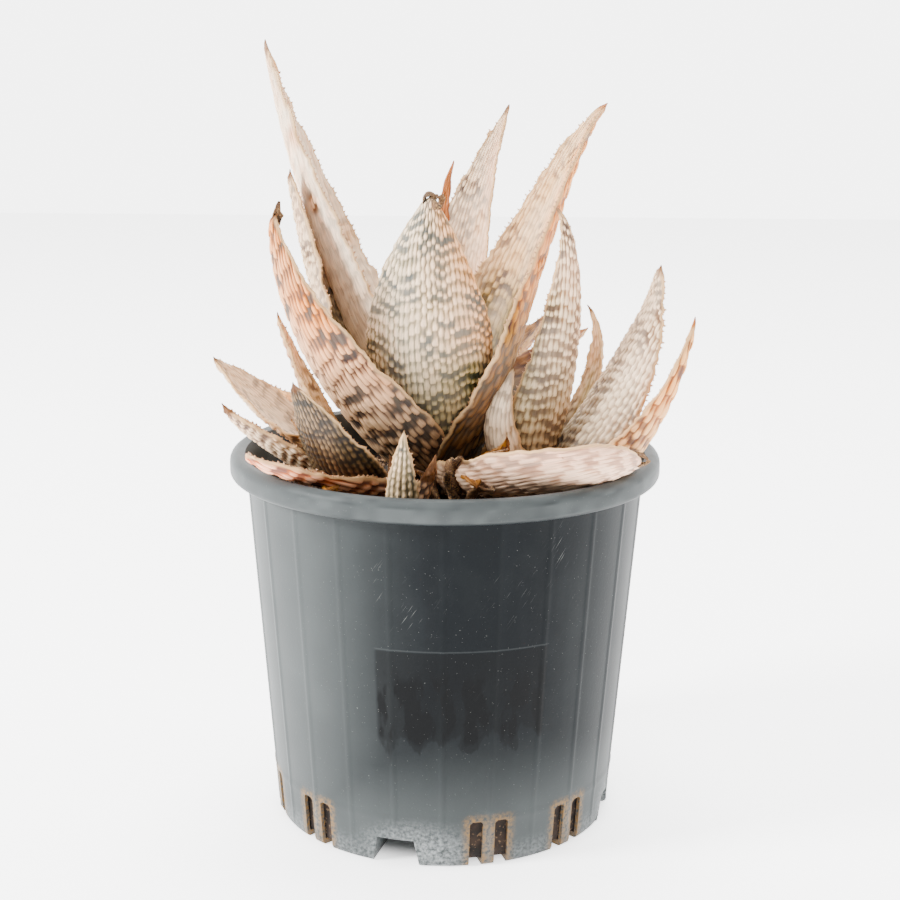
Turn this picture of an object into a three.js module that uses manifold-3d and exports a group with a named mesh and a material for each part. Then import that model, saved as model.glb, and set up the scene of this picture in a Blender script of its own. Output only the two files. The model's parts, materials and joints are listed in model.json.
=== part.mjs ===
// A clump of Aloe lateritia with five rosettes in a round plastic nursery pot.
// Millimetres, +Z up. The origin is the middle of the pot's underside, and -Y is the front.
import * as THREE from 'three';
import { mergeVertices } from 'three/addons/utils/BufferGeometryUtils.js';
import Module from 'manifold-3d';

const wasm = await Module();
wasm.setup();

// Driving dimensions of the pot
const POT_HEIGHT = 174;
const RIM_RADIUS = 100;
const RIM_DEPTH = 11;
const NECK_RADIUS = 92.3;
const FOOT_RADIUS = 79.6;
const WALL = 1.8;
const BASE = 2.6;
const POT_SIDES = 72;
const RIB_SPACING = 15;
const RIB_RELIEF = 0.45;
const STEP_HEIGHT = 22.5;
const STEP_RELIEF = 0.35;
const STEP_SLOPE = 1.2;
const FOOT_BEVEL = 2;
const BEAD_RISE = 2.2;
const BEAD_BAND = 4;
const CREST_OUT = 1.5;
const CREST_MIDDLE = 4.4;
const CREST_IN = 7.4;
const LIP_DROP = 1.5;
const BEAD_UNDERCUT = 1.8;

// Drainage slots and the four arched channels under the foot
const SLOT_WIDTH = 6;
const SLOT_BAR = 5.5;
const SLOT_TOP = 22;
const SLOT_CORNER = 1.2;
const SLOT_DEPTH = 9;
const SLOT_ANGLES = [-75, -45, 15, 45, 105, 135, -165, -135];
const CHANNEL_ANGLES = [-15, 75, 165, -105];
const CHANNEL_HEIGHT = 12.5;
const CHANNEL_TOP = 17;
const CHANNEL_FOOT = 22;
const CHANNEL_START = 34;
const CHANNEL_WALL = 2.2;

// Soil, stems and the clear space kept between pieces
const CLEAR = 0.3;
const SOIL_LEVEL = 152;
const SOIL_SIDES = 36;
const SOIL_SHOULDER = 4;
const SOIL_RINGS = [80, 56, 30];
const STEM_ROOT = 112;
const STEM_SIDES = 12;
// The stem's radius, as shares of its radius at the soil: at its root, just under the soil,
// among the leaves and at its blunt top
const STEM_SHARES = { root: 0.62, buried: 0.85, leafy: 0.86, top: 0.45 };
const BURIED_DEPTH = 8;
const COLLAR_HEIGHT = 6;
const LEAFY_HEIGHT = 0.7;

// Leaf blades
const EDGE_THICKNESS = 0.8;
const TOOTH_BASE = 3.2;
const TOOTH_HEIGHT = 1.7;
const TOOTH_SWEEP = 0.7;
const BARE_BASE = 0.14;
const BARE_TIP = 0.94;
const LONG_STEP = 17;
const SHORT_STEP = 13;
const LONG_LEAF = 100;
const FEWEST_STEPS = 5;
const NARROW = 26;
const TIP_THICKNESS = 1.3;
const TIP_SHARE = 0.03;
const BASE_SHARE = 0.66;
const ROOT_DEPTH = 0.7;
const WIDEST_CLASP = 1.15;
const CLASP_SHARE = 0.3;
const TIP_OPENING = 0.35;
const LEVEL_TILT = [-15, -15];

const RAD = Math.PI / 180;

// Stem centres with the radius of each stem where it leaves the soil
const CROWNS = {
  main: { x: 0, y: -4, top: 182, radius: 13 },
  right: { x: 43, y: -12, top: 172, radius: 10 },
  left: { x: -42, y: -20, top: 170, radius: 9 },
  back: { x: -8, y: 58, top: 172, radius: 10 },
  front: { x: -17, y: -66, top: 162, radius: 5 },
};

const TONES = {
  green: '#8f9483',
  tan: '#c9a98c',
  brown: '#8d7060',
  pink: '#d9b5a2',
  pale: '#d3cabb',
  dry: '#7d5a41',
};

// Each leaf leaves its crown at height z and runs through its middle point to its tip. It starts
// on the side of the crown that looks at its middle, or at the heading root where it has one.
// faces is the heading that its outer side has at the base and at the tip, and tilt its
// elevation there. The outer side swings round evenly, or all within the share turn of the
// length. cup is the half angle of the hollow upper side.
const LEAVES = [
  { name: 'm_front', crown: 'main', z: 174, middle: [-8, -41, 235], tip: [-7, -27, 294],
    faces: [271, 266], wide: 62, thick: 6.5, peak: 0.44, taper: 1.75, cup: 52, tone: 'green' },
  { name: 'm_left', crown: 'main', z: 162, middle: [-56, -43, 226], tip: [-73, -52, 289],
    faces: [222, 205], wide: 60, thick: 6.5, peak: 0.3, taper: 1.6, cup: 58, tone: 'brown' },
  { name: 'm_right', crown: 'main', root: -60, z: 156, middle: [46, -9, 285], tip: [72, 7, 332],
    faces: [-16, 29], turn: 0.35, wide: 57, thick: 6, peak: 0.42, taper: 1, cup: 75,
    tone: 'tan' },
  { name: 'r_front', crown: 'right', root: -110, z: 167, middle: [53, -31, 251],
    tip: [48, -28, 288], faces: [320, 269], wide: 38, thick: 5.5, peak: 0.18, taper: 1,
    cup: 51, tone: 'green' },
  { name: 'm_lying', crown: 'main', z: 161, middle: [45, -66, 174], tip: [86, -50, 179],
    faces: [-70, -70], tilt: [-50, -50], wide: 48, thick: 8, peak: 0.4, taper: 3, cup: 50,
    tone: 'pink' },
  { name: 'm_tall', crown: 'main', z: 170, middle: [-53, 21, 255], tip: [-85, 38, 359],
    faces: [174, 180], wide: 62, thick: 6, peak: 0.39, taper: 1.3, cup: 69, tone: 'pale' },
  { name: 'm_rear', crown: 'main', z: 170, middle: [4, 28, 249], tip: [29, 46, 330],
    faces: [75, 68], wide: 47, thick: 5.5, peak: 0.31, taper: 1.05, cup: 37, tone: 'tan' },
  { name: 'm_lean', crown: 'main', z: 166, middle: [-46, 2, 214], tip: [-72, 14, 301],
    faces: [135, 197], wide: 49, thick: 5, peak: 0.39, taper: 2, cup: 50, tone: 'pale' },
  { name: 'm_heart', crown: 'main', z: 178, middle: [-3, 2, 245], tip: [-2, 6, 306],
    faces: [80, 80], wide: 16, thick: 3.5, peak: 0.3, taper: 1.3, cup: 45, tone: 'tan' },
  { name: 'r_side', crown: 'right', z: 167, middle: [85, -15, 228], tip: [95, -26, 263],
    faces: [-176, -181], wide: 58, thick: 5, peak: 0.39, taper: 1.35, cup: 69, tone: 'pale' },
  { name: 'r_out', crown: 'right', z: 158, middle: [85, -35, 184], tip: [108, -44, 243],
    faces: [-51, -26], wide: 23, thick: 4.5, peak: 0.45, taper: 1, cup: 54, tone: 'pink' },
  { name: 'l_front', crown: 'left', z: 157, middle: [-55, -56, 188], tip: [-65, -61, 216],
    faces: [241, 217], wide: 49, thick: 5, peak: 0.3, taper: 1.9, cup: 60, tone: 'brown' },
  { name: 'l_side', crown: 'left', z: 170, middle: [-81, -10, 193], tip: [-104, -23, 220],
    faces: [187, 150], tilt: [-40, -50], wide: 44, thick: 4, peak: 0.34, taper: 1.35, cup: 22,
    tone: 'pale' },
  { name: 'l_low', crown: 'left', z: 163, middle: [-80, -34, 184], tip: [-98, -43, 203],
    faces: [211, 204], tilt: [-50, -50], wide: 31, thick: 4, peak: 0.3, taper: 1.65, cup: 47,
    tone: 'tan' },
  { name: 'm_low', crown: 'main', z: 156, middle: [-59, -63, 175], tip: [-87, -49, 182],
    faces: [232, 214], tilt: [-50, -50], wide: 24, thick: 6, peak: 0.3, taper: 1.8, cup: 50,
    tone: 'pink' },
  { name: 'l_thin', crown: 'left', z: 164, middle: [-68, 2, 210], tip: [-78, 6, 236],
    faces: [165, 165], wide: 20, thick: 3, peak: 0.3, taper: 1.5, cup: 50, tone: 'pale' },
  { name: 'r_small', crown: 'right', root: 200, z: 160, middle: [24, -31, 188],
    tip: [31, -26, 217], faces: [235, 250], wide: 20, thick: 3, peak: 0.3, taper: 1.6, cup: 45,
    tone: 'pale' },
  { name: 'f_tip', crown: 'front', z: 158, middle: [-18, -75, 174], tip: [-17, -77, 199],
    faces: [266, 261], wide: 15, thick: 3, peak: 0.25, taper: 1.3, cup: 33, tone: 'green' },
  { name: 'f_right', crown: 'front', z: 157, middle: [-8, -69, 173], tip: [-4, -71, 187],
    faces: [-15, -40], wide: 15, thick: 2.5, peak: 0.3, taper: 1.4, cup: 45, tone: 'green' },
  { name: 'f_back', crown: 'front', z: 157, middle: [-20, -58, 171], tip: [-24, -54, 183],
    faces: [110, 120], wide: 14, thick: 2.5, peak: 0.3, taper: 1.4, cup: 45, tone: 'green' },
  { name: 'r_rear', crown: 'right', z: 164, middle: [70, 18, 207], tip: [67, 30, 237],
    faces: [50, 40], wide: 15, thick: 3, peak: 0.3, taper: 1.4, cup: 45, tone: 'tan' },
  { name: 'r_back', crown: 'right', z: 160, middle: [76, 22, 188], tip: [97, 42, 212],
    faces: [40, 40], tilt: [-25, -25], wide: 34, thick: 4, peak: 0.3, taper: 1.6, cup: 50,
    tone: 'tan' },
  { name: 'r_low', crown: 'right', z: 156, middle: [80, 2, 178], tip: [103, 10, 190],
    faces: [10, 10], tilt: [-45, -45], wide: 28, thick: 4, peak: 0.3, taper: 1.6, cup: 48,
    tone: 'brown' },
  { name: 'm_back', crown: 'main', z: 164, middle: [-14, 40, 225], tip: [-24, 72, 262],
    faces: [102, 108], tilt: [-20, -30], wide: 48, thick: 5.5, peak: 0.3, taper: 1.6, cup: 48,
    tone: 'green' },
  { name: 'm_back_right', crown: 'main', z: 160, middle: [37, 32, 198], tip: [70, 56, 222],
    faces: [42, 45], tilt: [-25, -30], wide: 42, thick: 5, peak: 0.3, taper: 1.6, cup: 50,
    tone: 'brown' },
  { name: 'm_back_left', crown: 'main', z: 160, middle: [-42, 34, 200], tip: [-72, 58, 231],
    faces: [135, 140], tilt: [-20, -25], wide: 42, thick: 5, peak: 0.3, taper: 1.6, cup: 50,
    tone: 'tan' },
  { name: 'l_back', crown: 'left', z: 160, middle: [-68, 10, 184], tip: [-90, 28, 199],
    faces: [135, 140], tilt: [-30, -35], wide: 30, thick: 4, peak: 0.3, taper: 1.6, cup: 50,
    tone: 'tan' },
  { name: 'b_up', crown: 'back', z: 166, middle: [-12, 66, 214], tip: [-15, 68, 258],
    faces: [100, 100], wide: 34, thick: 5, peak: 0.3, taper: 1.5, cup: 46, tone: 'green' },
  { name: 'b_rear', crown: 'back', z: 162, middle: [-10, 86, 200], tip: [-16, 100, 240],
    faces: [92, 95], wide: 42, thick: 5, peak: 0.3, taper: 1.6, cup: 50, tone: 'brown' },
  { name: 'b_left', crown: 'back', z: 161, middle: [-42, 74, 196], tip: [-70, 82, 226],
    faces: [150, 160], tilt: [-20, -20], wide: 38, thick: 5, peak: 0.3, taper: 1.6, cup: 50,
    tone: 'pale' },
  { name: 'b_right', crown: 'back', z: 161, middle: [28, 74, 198], tip: [54, 88, 226],
    faces: [28, 25], tilt: [-20, -20], wide: 38, thick: 5, peak: 0.3, taper: 1.6, cup: 50,
    tone: 'tan' },
  { name: 'b_low_left', crown: 'back', z: 157, middle: [-40, 86, 182], tip: [-62, 102, 190],
    faces: [128, 130], tilt: [-45, -50], wide: 28, thick: 4.5, peak: 0.3, taper: 1.7, cup: 50,
    tone: 'pink' },
  { name: 'b_low_right', crown: 'back', z: 157, middle: [20, 92, 182], tip: [38, 110, 190],
    faces: [55, 50], tilt: [-45, -50], wide: 28, thick: 4.5, peak: 0.3, taper: 1.7, cup: 50,
    tone: 'pink' },
  { name: 'dry_front', crown: 'main', z: 158, middle: [10, -42, 172], tip: [14, -66, 171],
    faces: [-70, -70], tilt: [-60, -60], wide: 22, thick: 2.5, peak: 0.3, taper: 1.6, cup: 55,
    tone: 'dry' },
  { name: 'dry_right', crown: 'main', z: 159, middle: [22, -34, 177], tip: [27, -48, 190],
    faces: [-55, -60], tilt: [-30, -20], wide: 17, thick: 2.5, peak: 0.3, taper: 1.5, cup: 50,
    tone: 'dry' },
  { name: 'dry_left', crown: 'left', z: 157, middle: [-48, -50, 167], tip: [-50, -74, 172],
    faces: [262, 262], tilt: [-60, -60], wide: 18, thick: 2.5, peak: 0.3, taper: 1.6, cup: 55,
    tone: 'dry' },
];

// Solids and meshes
function toSolid(geometry) {
  const bare = geometry.clone();
  bare.deleteAttribute('normal');
  bare.deleteAttribute('uv');
  const merged = mergeVertices(bare, 1e-4);
  const vertProperties = Float32Array.from(merged.attributes.position.array);
  const triVerts = Uint32Array.from(merged.index.array);
  return new wasm.Manifold(new wasm.Mesh({ numProp: 3, vertProperties, triVerts }));
}

function toGeometry(solid) {
  const { vertProperties, triVerts } = solid.getMesh();
  const geometry = new THREE.BufferGeometry();
  geometry.setAttribute('position', new THREE.BufferAttribute(vertProperties, 3));
  geometry.setIndex(new THREE.BufferAttribute(triVerts, 1));
  geometry.computeVertexNormals();
  return geometry;
}

function largestBody(solid) {
  const bodies = solid.decompose();
  return bodies.reduce((best, body) => (body.volume() > best.volume() ? body : best));
}

// A profile of [radius, height] pairs turned about the Z axis
function turned(profile, sides) {
  const points = profile.map(([r, z]) => new THREE.Vector2(r, z));
  return new THREE.LatheGeometry(points, sides).rotateX(Math.PI / 2);
}

// Pot
function wallRadius(z) {
  const rise = POT_HEIGHT - RIM_DEPTH;
  return FOOT_RADIUS + ((NECK_RADIUS - FOOT_RADIUS) * z) / rise;
}

function innerRadius(z) {
  return wallRadius(z) - WALL;
}

function potProfile(grow = 0) {
  const under = POT_HEIGHT - RIM_DEPTH;
  return [
    [0, -grow],
    [FOOT_RADIUS - FOOT_BEVEL, -grow],
    [wallRadius(FOOT_BEVEL) + grow, FOOT_BEVEL],
    [wallRadius(STEP_HEIGHT) + STEP_RELIEF + grow, STEP_HEIGHT],
    [wallRadius(STEP_HEIGHT) + grow, STEP_HEIGHT + STEP_SLOPE],
    [wallRadius(under - 1) + grow, under - 1 - grow],
    [RIM_RADIUS - BEAD_UNDERCUT + grow, under - grow],
    [RIM_RADIUS + grow, under + BEAD_RISE],
    [RIM_RADIUS + grow, under + BEAD_RISE + BEAD_BAND],
    [RIM_RADIUS - CREST_OUT + grow, POT_HEIGHT - LIP_DROP + grow],
    [RIM_RADIUS - CREST_MIDDLE, POT_HEIGHT + grow],
    [RIM_RADIUS - CREST_IN - grow, POT_HEIGHT - LIP_DROP + grow],
    [innerRadius(under + BEAD_BAND) - grow, under + BEAD_BAND],
    [innerRadius(BASE) - grow, BASE + grow],
    [0, BASE + grow],
  ];
}

// Twenty-four faint ribs: every third row of wall vertices stands out a little
function raiseRibs(geometry) {
  const position = geometry.attributes.position;
  const point = new THREE.Vector3();
  for (let i = 0; i < position.count; i += 1) {
    point.fromBufferAttribute(position, i);
    const radius = Math.hypot(point.x, point.y);
    const heading = Math.atan2(point.y, point.x) / RAD;
    const offBeat = Math.abs(heading - Math.round(heading / RIB_SPACING) * RIB_SPACING);
    const onWall = radius > innerRadius(point.z) + 1 && point.z > 1;
    if (offBeat < 1 && onWall && point.z < POT_HEIGHT - RIM_DEPTH - 0.5) {
      const factor = (radius + RIB_RELIEF) / radius;
      position.setXY(i, point.x * factor, point.y * factor);
    }
  }
  return geometry;
}

// A straight prism that leaves the axis at one angle, measured from the front
function radialPrism(outline, start, end, angle) {
  const shape = new THREE.Shape(outline.map(([x, y]) => new THREE.Vector2(x, y)));
  const prism = new THREE.ExtrudeGeometry(shape, { depth: end - start, bevelEnabled: false });
  prism.rotateX(Math.PI / 2).translate(0, -start, 0);
  return toSolid(prism.rotateZ(angle * RAD));
}

function channelOutline(grow) {
  const foot = CHANNEL_FOOT / 2 + grow;
  const top = CHANNEL_TOP / 2 + grow;
  const height = CHANNEL_HEIGHT + grow;
  return [[-foot, -1], [foot, -1], [top, height], [-top, height]];
}

function slotOutline(middle) {
  const half = SLOT_WIDTH / 2;
  return [
    [middle - half, -1],
    [middle + half, -1],
    [middle + half, SLOT_TOP - SLOT_CORNER],
    [middle + half - SLOT_CORNER, SLOT_TOP],
    [middle - half + SLOT_CORNER, SLOT_TOP],
    [middle - half, SLOT_TOP - SLOT_CORNER],
  ];
}

// The raised roofs over the channels, which stand up inside the pot
function channelRoof(angle, grow = 0) {
  const end = innerRadius(BASE) + WALL / 2;
  const outline = channelOutline(CHANNEL_WALL + grow).map(([x, y]) => [x, Math.max(y, 1)]);
  return radialPrism(outline, CHANNEL_START - CHANNEL_WALL - grow, end, angle);
}

function potSolid() {
  let pot = toSolid(raiseRibs(turned(potProfile(), POT_SIDES)));
  for (const angle of CHANNEL_ANGLES) {
    pot = pot.add(channelRoof(angle));
  }
  for (const angle of CHANNEL_ANGLES) {
    pot = pot.subtract(radialPrism(channelOutline(0), CHANNEL_START, RIM_RADIUS, angle));
  }
  for (const angle of SLOT_ANGLES) {
    for (const side of [-1, 1]) {
      const middle = (side * (SLOT_WIDTH + SLOT_BAR)) / 2;
      const start = FOOT_RADIUS - SLOT_DEPTH;
      pot = pot.subtract(radialPrism(slotOutline(middle), start, RIM_RADIUS, angle));
    }
  }
  return pot;
}

// Stems
function stemGeometry(crown, grow = 0) {
  const { x, y, top, radius } = crown;
  const profile = [
    [0, STEM_ROOT - grow],
    [radius * STEM_SHARES.root + grow, STEM_ROOT - grow],
    [radius * STEM_SHARES.buried + grow, SOIL_LEVEL - BURIED_DEPTH],
    [radius + grow, SOIL_LEVEL + COLLAR_HEIGHT],
    [radius * STEM_SHARES.leafy + grow, SOIL_LEVEL + LEAFY_HEIGHT * (top - SOIL_LEVEL)],
    [radius * STEM_SHARES.top + grow, top - 1 + grow],
    [0, top + grow],
  ];
  return turned(profile, STEM_SIDES).translate(x, y, 0);
}

// Soil with a gently uneven top, cut to stand over the channel roofs
function soilRelief(x, y) {
  return 1.6 * Math.sin(x / 13 + 1) * Math.cos(y / 11) + 0.9 * Math.sin((x + y) / 7);
}

function soilGeometry(grow = 0) {
  const shoulder = SOIL_LEVEL - SOIL_SHOULDER;
  const profile = [
    [0, BASE + CLEAR],
    [innerRadius(BASE) - 1.5 * CLEAR, BASE + CLEAR],
    [innerRadius(shoulder) - 1.5 * CLEAR, shoulder + grow],
    ...SOIL_RINGS.map((radius) => [radius, SOIL_LEVEL + grow]),
    [0, SOIL_LEVEL + grow],
  ];
  const geometry = turned(profile, SOIL_SIDES);
  const position = geometry.attributes.position;
  for (let i = 0; i < position.count; i += 1) {
    if (position.getZ(i) > SOIL_LEVEL - 1) {
      const relief = soilRelief(position.getX(i), position.getY(i));
      position.setZ(i, position.getZ(i) + relief);
    }
  }
  return geometry;
}

function soilSolid() {
  let soil = toSolid(soilGeometry());
  for (const angle of CHANNEL_ANGLES) {
    soil = soil.subtract(channelRoof(angle, CLEAR));
  }
  for (const crown of Object.values(CROWNS)) {
    soil = soil.subtract(toSolid(stemGeometry(crown, CLEAR)));
  }
  return soil;
}

// Leaves
function leafSpine(leaf) {
  const crown = CROWNS[leaf.crown];
  const middle = new THREE.Vector3(...leaf.middle);
  const tip = new THREE.Vector3(...leaf.tip);
  const outward = new THREE.Vector3(middle.x - crown.x, middle.y - crown.y, 0);
  if ('root' in leaf) {
    outward.set(Math.cos(leaf.root * RAD), Math.sin(leaf.root * RAD), 0);
  }
  outward.setLength(crown.radius * ROOT_DEPTH);
  const start = new THREE.Vector3(crown.x, crown.y, leaf.z).add(outward);
  const pull = middle.clone().multiplyScalar(2).addScaledVector(start, -0.5);
  pull.addScaledVector(tip, -0.5);
  return new THREE.QuadraticBezierCurve3(start, pull, tip);
}

function blend(pair, s) {
  return pair[0] + (pair[1] - pair[0]) * s;
}

function smooth(t) {
  const u = THREE.MathUtils.clamp(t, 0, 1);
  return u * u * (3 - 2 * u);
}

function halfWidth(leaf, s) {
  const { wide, peak, taper } = leaf;
  if (s < peak) {
    const swell = Math.sin((Math.PI / 2) * (s / peak));
    return (wide / 2) * (BASE_SHARE + (1 - BASE_SHARE) * swell);
  }
  return (wide / 2) * Math.max(1 - ((s - peak) / (1 - peak)) ** taper, TIP_SHARE);
}

// Half angle of the hollow: it clasps the stem at the base and opens out towards the tip
function cupAngle(leaf, s) {
  const clasp = Math.min(WIDEST_CLASP, halfWidth(leaf, 0) / CROWNS[leaf.crown].radius);
  const open = leaf.cup * RAD;
  const beyond = Math.max(s - CLASP_SHARE, 0) / (1 - CLASP_SHARE);
  return (clasp + (open - clasp) * smooth(s / CLASP_SHARE)) * (1 - TIP_OPENING * beyond);
}

function thickness(leaf, s) {
  return TIP_THICKNESS + (leaf.thick - TIP_THICKNESS) * (1 - s) ** 0.8;
}

// The leaf's own axes at one station: along it, across it and up out of the hollow
function leafFrame(leaf, spine, s) {
  const along = spine.getTangentAt(s);
  const swing = 'turn' in leaf ? smooth(s / leaf.turn) : s;
  const heading = blend(leaf.faces, swing) * RAD;
  const elevation = blend(leaf.tilt ?? LEVEL_TILT, s) * RAD;
  const outer = new THREE.Vector3(
    Math.cos(heading) * Math.cos(elevation),
    Math.sin(heading) * Math.cos(elevation),
    Math.sin(elevation),
  );
  const across = new THREE.Vector3().crossVectors(outer, along).normalize();
  const up = new THREE.Vector3().crossVectors(across, along);
  return { centre: spine.getPointAt(s), along, across, up };
}

// One point of the blade: v runs from margin to margin, sink is the depth below the hollow
function bladePoint(leaf, frame, s, v, sink, grow) {
  const angle = cupAngle(leaf, s);
  const radius = halfWidth(leaf, s) / angle;
  const turn = v * angle;
  const over = Math.abs(v) === 1 ? Math.sign(v) * grow : 0;
  const sideways = radius * Math.sin(turn) + over * Math.cos(turn) + sink * Math.sin(turn);
  const upward = radius * (1 - Math.cos(turn)) + over * Math.sin(turn) - sink * Math.cos(turn);
  return frame.centre.clone()
    .addScaledVector(frame.across, sideways)
    .addScaledVector(frame.up, upward);
}

// A row of points across the hollow and one across the belly, with three each on narrow leaves
function bladeRing(leaf, spine, s, grow) {
  const frame = leafFrame(leaf, spine, s);
  const across = leaf.wide < NARROW ? [-1, 0, 1] : [-1, -0.5, 0, 0.5, 1];
  const edge = Math.min(EDGE_THICKNESS, thickness(leaf, s));
  const upper = across.map((v) => bladePoint(leaf, frame, s, v, -grow, grow));
  const lower = across.map((v) => {
    const belly = edge + (thickness(leaf, s) - edge) * Math.cos((v * Math.PI) / 2) ** 0.8;
    return bladePoint(leaf, frame, s, v, belly + grow, grow);
  });
  return { upper, lower, frame };
}

function leafGeometry(leaf, grow = 0) {
  const spine = leafSpine(leaf);
  const length = spine.getLength();
  const step = length > LONG_LEAF ? LONG_STEP : SHORT_STEP;
  const count = Math.max(FEWEST_STEPS, Math.round(length / step));
  const vertices = [];
  const faces = [];
  const add = (point) => vertices.push(point) - 1;
  const quad = (a, b, c, d) => faces.push([a, b, c], [a, c, d]);

  const rings = [];
  for (let i = 0; i < count; i += 1) {
    const { upper, lower, frame } = bladeRing(leaf, spine, i / count, grow);
    rings.push({ upper: upper.map(add), lower: lower.map(add), frame });
  }
  const apex = add(spine.getPointAt(1));
  const rim = rings[0].upper.length - 1;

  // A margin between two stations, with one tooth where the blade carries teeth
  const margin = (one, two, side, toothed) => {
    const k = side > 0 ? rim : 0;
    const inner = side > 0 ? rim - 1 : 1;
    const wind = (list) => faces.push(side > 0 ? list : [list[0], list[2], list[1]]);
    const a = one.upper[k];
    const b = two.upper[k];
    const c = two.lower[k];
    const d = one.lower[k];
    if (!toothed) {
      wind([a, d, b]);
      wind([b, d, c]);
      wind([one.upper[inner], a, b]);
      wind([one.upper[inner], b, two.upper[inner]]);
      wind([one.lower[inner], c, d]);
      wind([one.lower[inner], two.lower[inner], c]);
      return;
    }
    const half = TOOTH_BASE / 2 / (length / count);
    const between = (p, q, t) => add(vertices[p].clone().lerp(vertices[q], t));
    const a1 = between(a, b, 0.5 - half);
    const a2 = between(a, b, 0.5 + half);
    const d1 = between(d, c, 0.5 - half);
    const d2 = between(d, c, 0.5 + half);
    const out = vertices[a].clone().sub(vertices[one.upper[inner]]).setLength(TOOTH_HEIGHT + grow);
    const tooth = vertices[a1].clone().add(vertices[d2]).multiplyScalar(0.5).add(out);
    tooth.addScaledVector(one.frame.along, TOOTH_SWEEP);
    const e = add(tooth);
    wind([a, d, a1]);
    wind([a1, d, d1]);
    wind([a2, d2, b]);
    wind([b, d2, c]);
    wind([a1, e, a2]);
    wind([a2, e, d2]);
    wind([d2, e, d1]);
    wind([d1, e, a1]);
    wind([one.upper[inner], a, a1]);
    wind([one.upper[inner], a1, a2]);
    wind([one.upper[inner], a2, b]);
    wind([one.upper[inner], b, two.upper[inner]]);
    wind([one.lower[inner], d1, d]);
    wind([one.lower[inner], d2, d1]);
    wind([one.lower[inner], c, d2]);
    wind([one.lower[inner], two.lower[inner], c]);
  };

  for (let i = 0; i + 1 < count; i += 1) {
    const one = rings[i];
    const two = rings[i + 1];
    for (let k = 1; k < rim - 1; k += 1) {
      quad(one.upper[k], one.upper[k + 1], two.upper[k + 1], two.upper[k]);
      quad(one.lower[k + 1], one.lower[k], two.lower[k], two.lower[k + 1]);
    }
    const s = (i + 0.5) / count;
    const toothed = s > BARE_BASE && s < BARE_TIP && leaf.tone !== 'dry';
    margin(one, two, 1, toothed);
    margin(one, two, -1, toothed);
  }

  const first = rings[0];
  const last = rings[count - 1];
  for (let k = 0; k < rim; k += 1) {
    quad(first.upper[k + 1], first.upper[k], first.lower[k], first.lower[k + 1]);
    faces.push([last.upper[k], last.upper[k + 1], apex]);
    faces.push([last.lower[k + 1], last.lower[k], apex]);
  }
  faces.push([last.lower[0], last.upper[0], apex]);
  faces.push([last.upper[rim], last.lower[rim], apex]);

  const geometry = new THREE.BufferGeometry();
  const flat = vertices.flatMap((p) => [p.x, p.y, p.z]);
  geometry.setAttribute('position', new THREE.BufferAttribute(new Float32Array(flat), 3));
  geometry.setIndex(faces.flat());
  return geometry;
}

function boxesMeet(a, b) {
  return [0, 1, 2].every((k) => a.min[k] <= b.max[k] && b.min[k] <= a.max[k]);
}

// Each leaf gives way to the stems, the rim, the soil and the leaves before it in the list
function leafSolids() {
  const fixed = Object.values(CROWNS).map((crown) => toSolid(stemGeometry(crown, CLEAR)));
  fixed.push(toSolid(turned(potProfile(CLEAR), POT_SIDES)));
  fixed.push(toSolid(soilGeometry(CLEAR)));
  const grown = [];
  const bodies = new Map();
  for (const leaf of LEAVES) {
    let body = toSolid(leafGeometry(leaf));
    for (const other of [...fixed, ...grown]) {
      if (boxesMeet(body.boundingBox(), other.boundingBox())) {
        body = body.subtract(other);
      }
    }
    bodies.set(leaf.name, largestBody(body));
    grown.push(toSolid(leafGeometry(leaf, CLEAR)));
  }
  return bodies;
}

// The finished object
function piece(name, geometry, colour, roughness) {
  const material = new THREE.MeshStandardMaterial({ color: colour, roughness, metalness: 0 });
  const mesh = new THREE.Mesh(geometry, material);
  mesh.name = name;
  return mesh;
}

const group = new THREE.Group();
group.add(piece('pot', toGeometry(potSolid()), '#6d7477', 0.55));
group.add(piece('soil', toGeometry(soilSolid()), '#4b382a', 0.95));

for (const [name, crown] of Object.entries(CROWNS)) {
  group.add(piece(`stem_${name}`, toGeometry(toSolid(stemGeometry(crown))), '#6b5240', 0.85));
}

const solids = leafSolids();
for (const leaf of LEAVES) {
  group.add(piece(`leaf_${leaf.name}`, toGeometry(solids.get(leaf.name)), TONES[leaf.tone], 0.7));
}

export default group;
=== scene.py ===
"""Dresses the potted aloe: fine leaves, margin teeth, soil, litter and a worn nursery pot.

Sizes are in millimetres in the dataclasses and become metres when a mesh is made. The frame is
+Z up with its origin in the middle of the pot's underside, and the front faces -Y.
"""

from __future__ import annotations

import json
import logging
import math
from dataclasses import dataclass, field
from enum import Enum
from typing import ClassVar

import bpy
import numpy as np
from mathutils import Matrix, Vector

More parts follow.
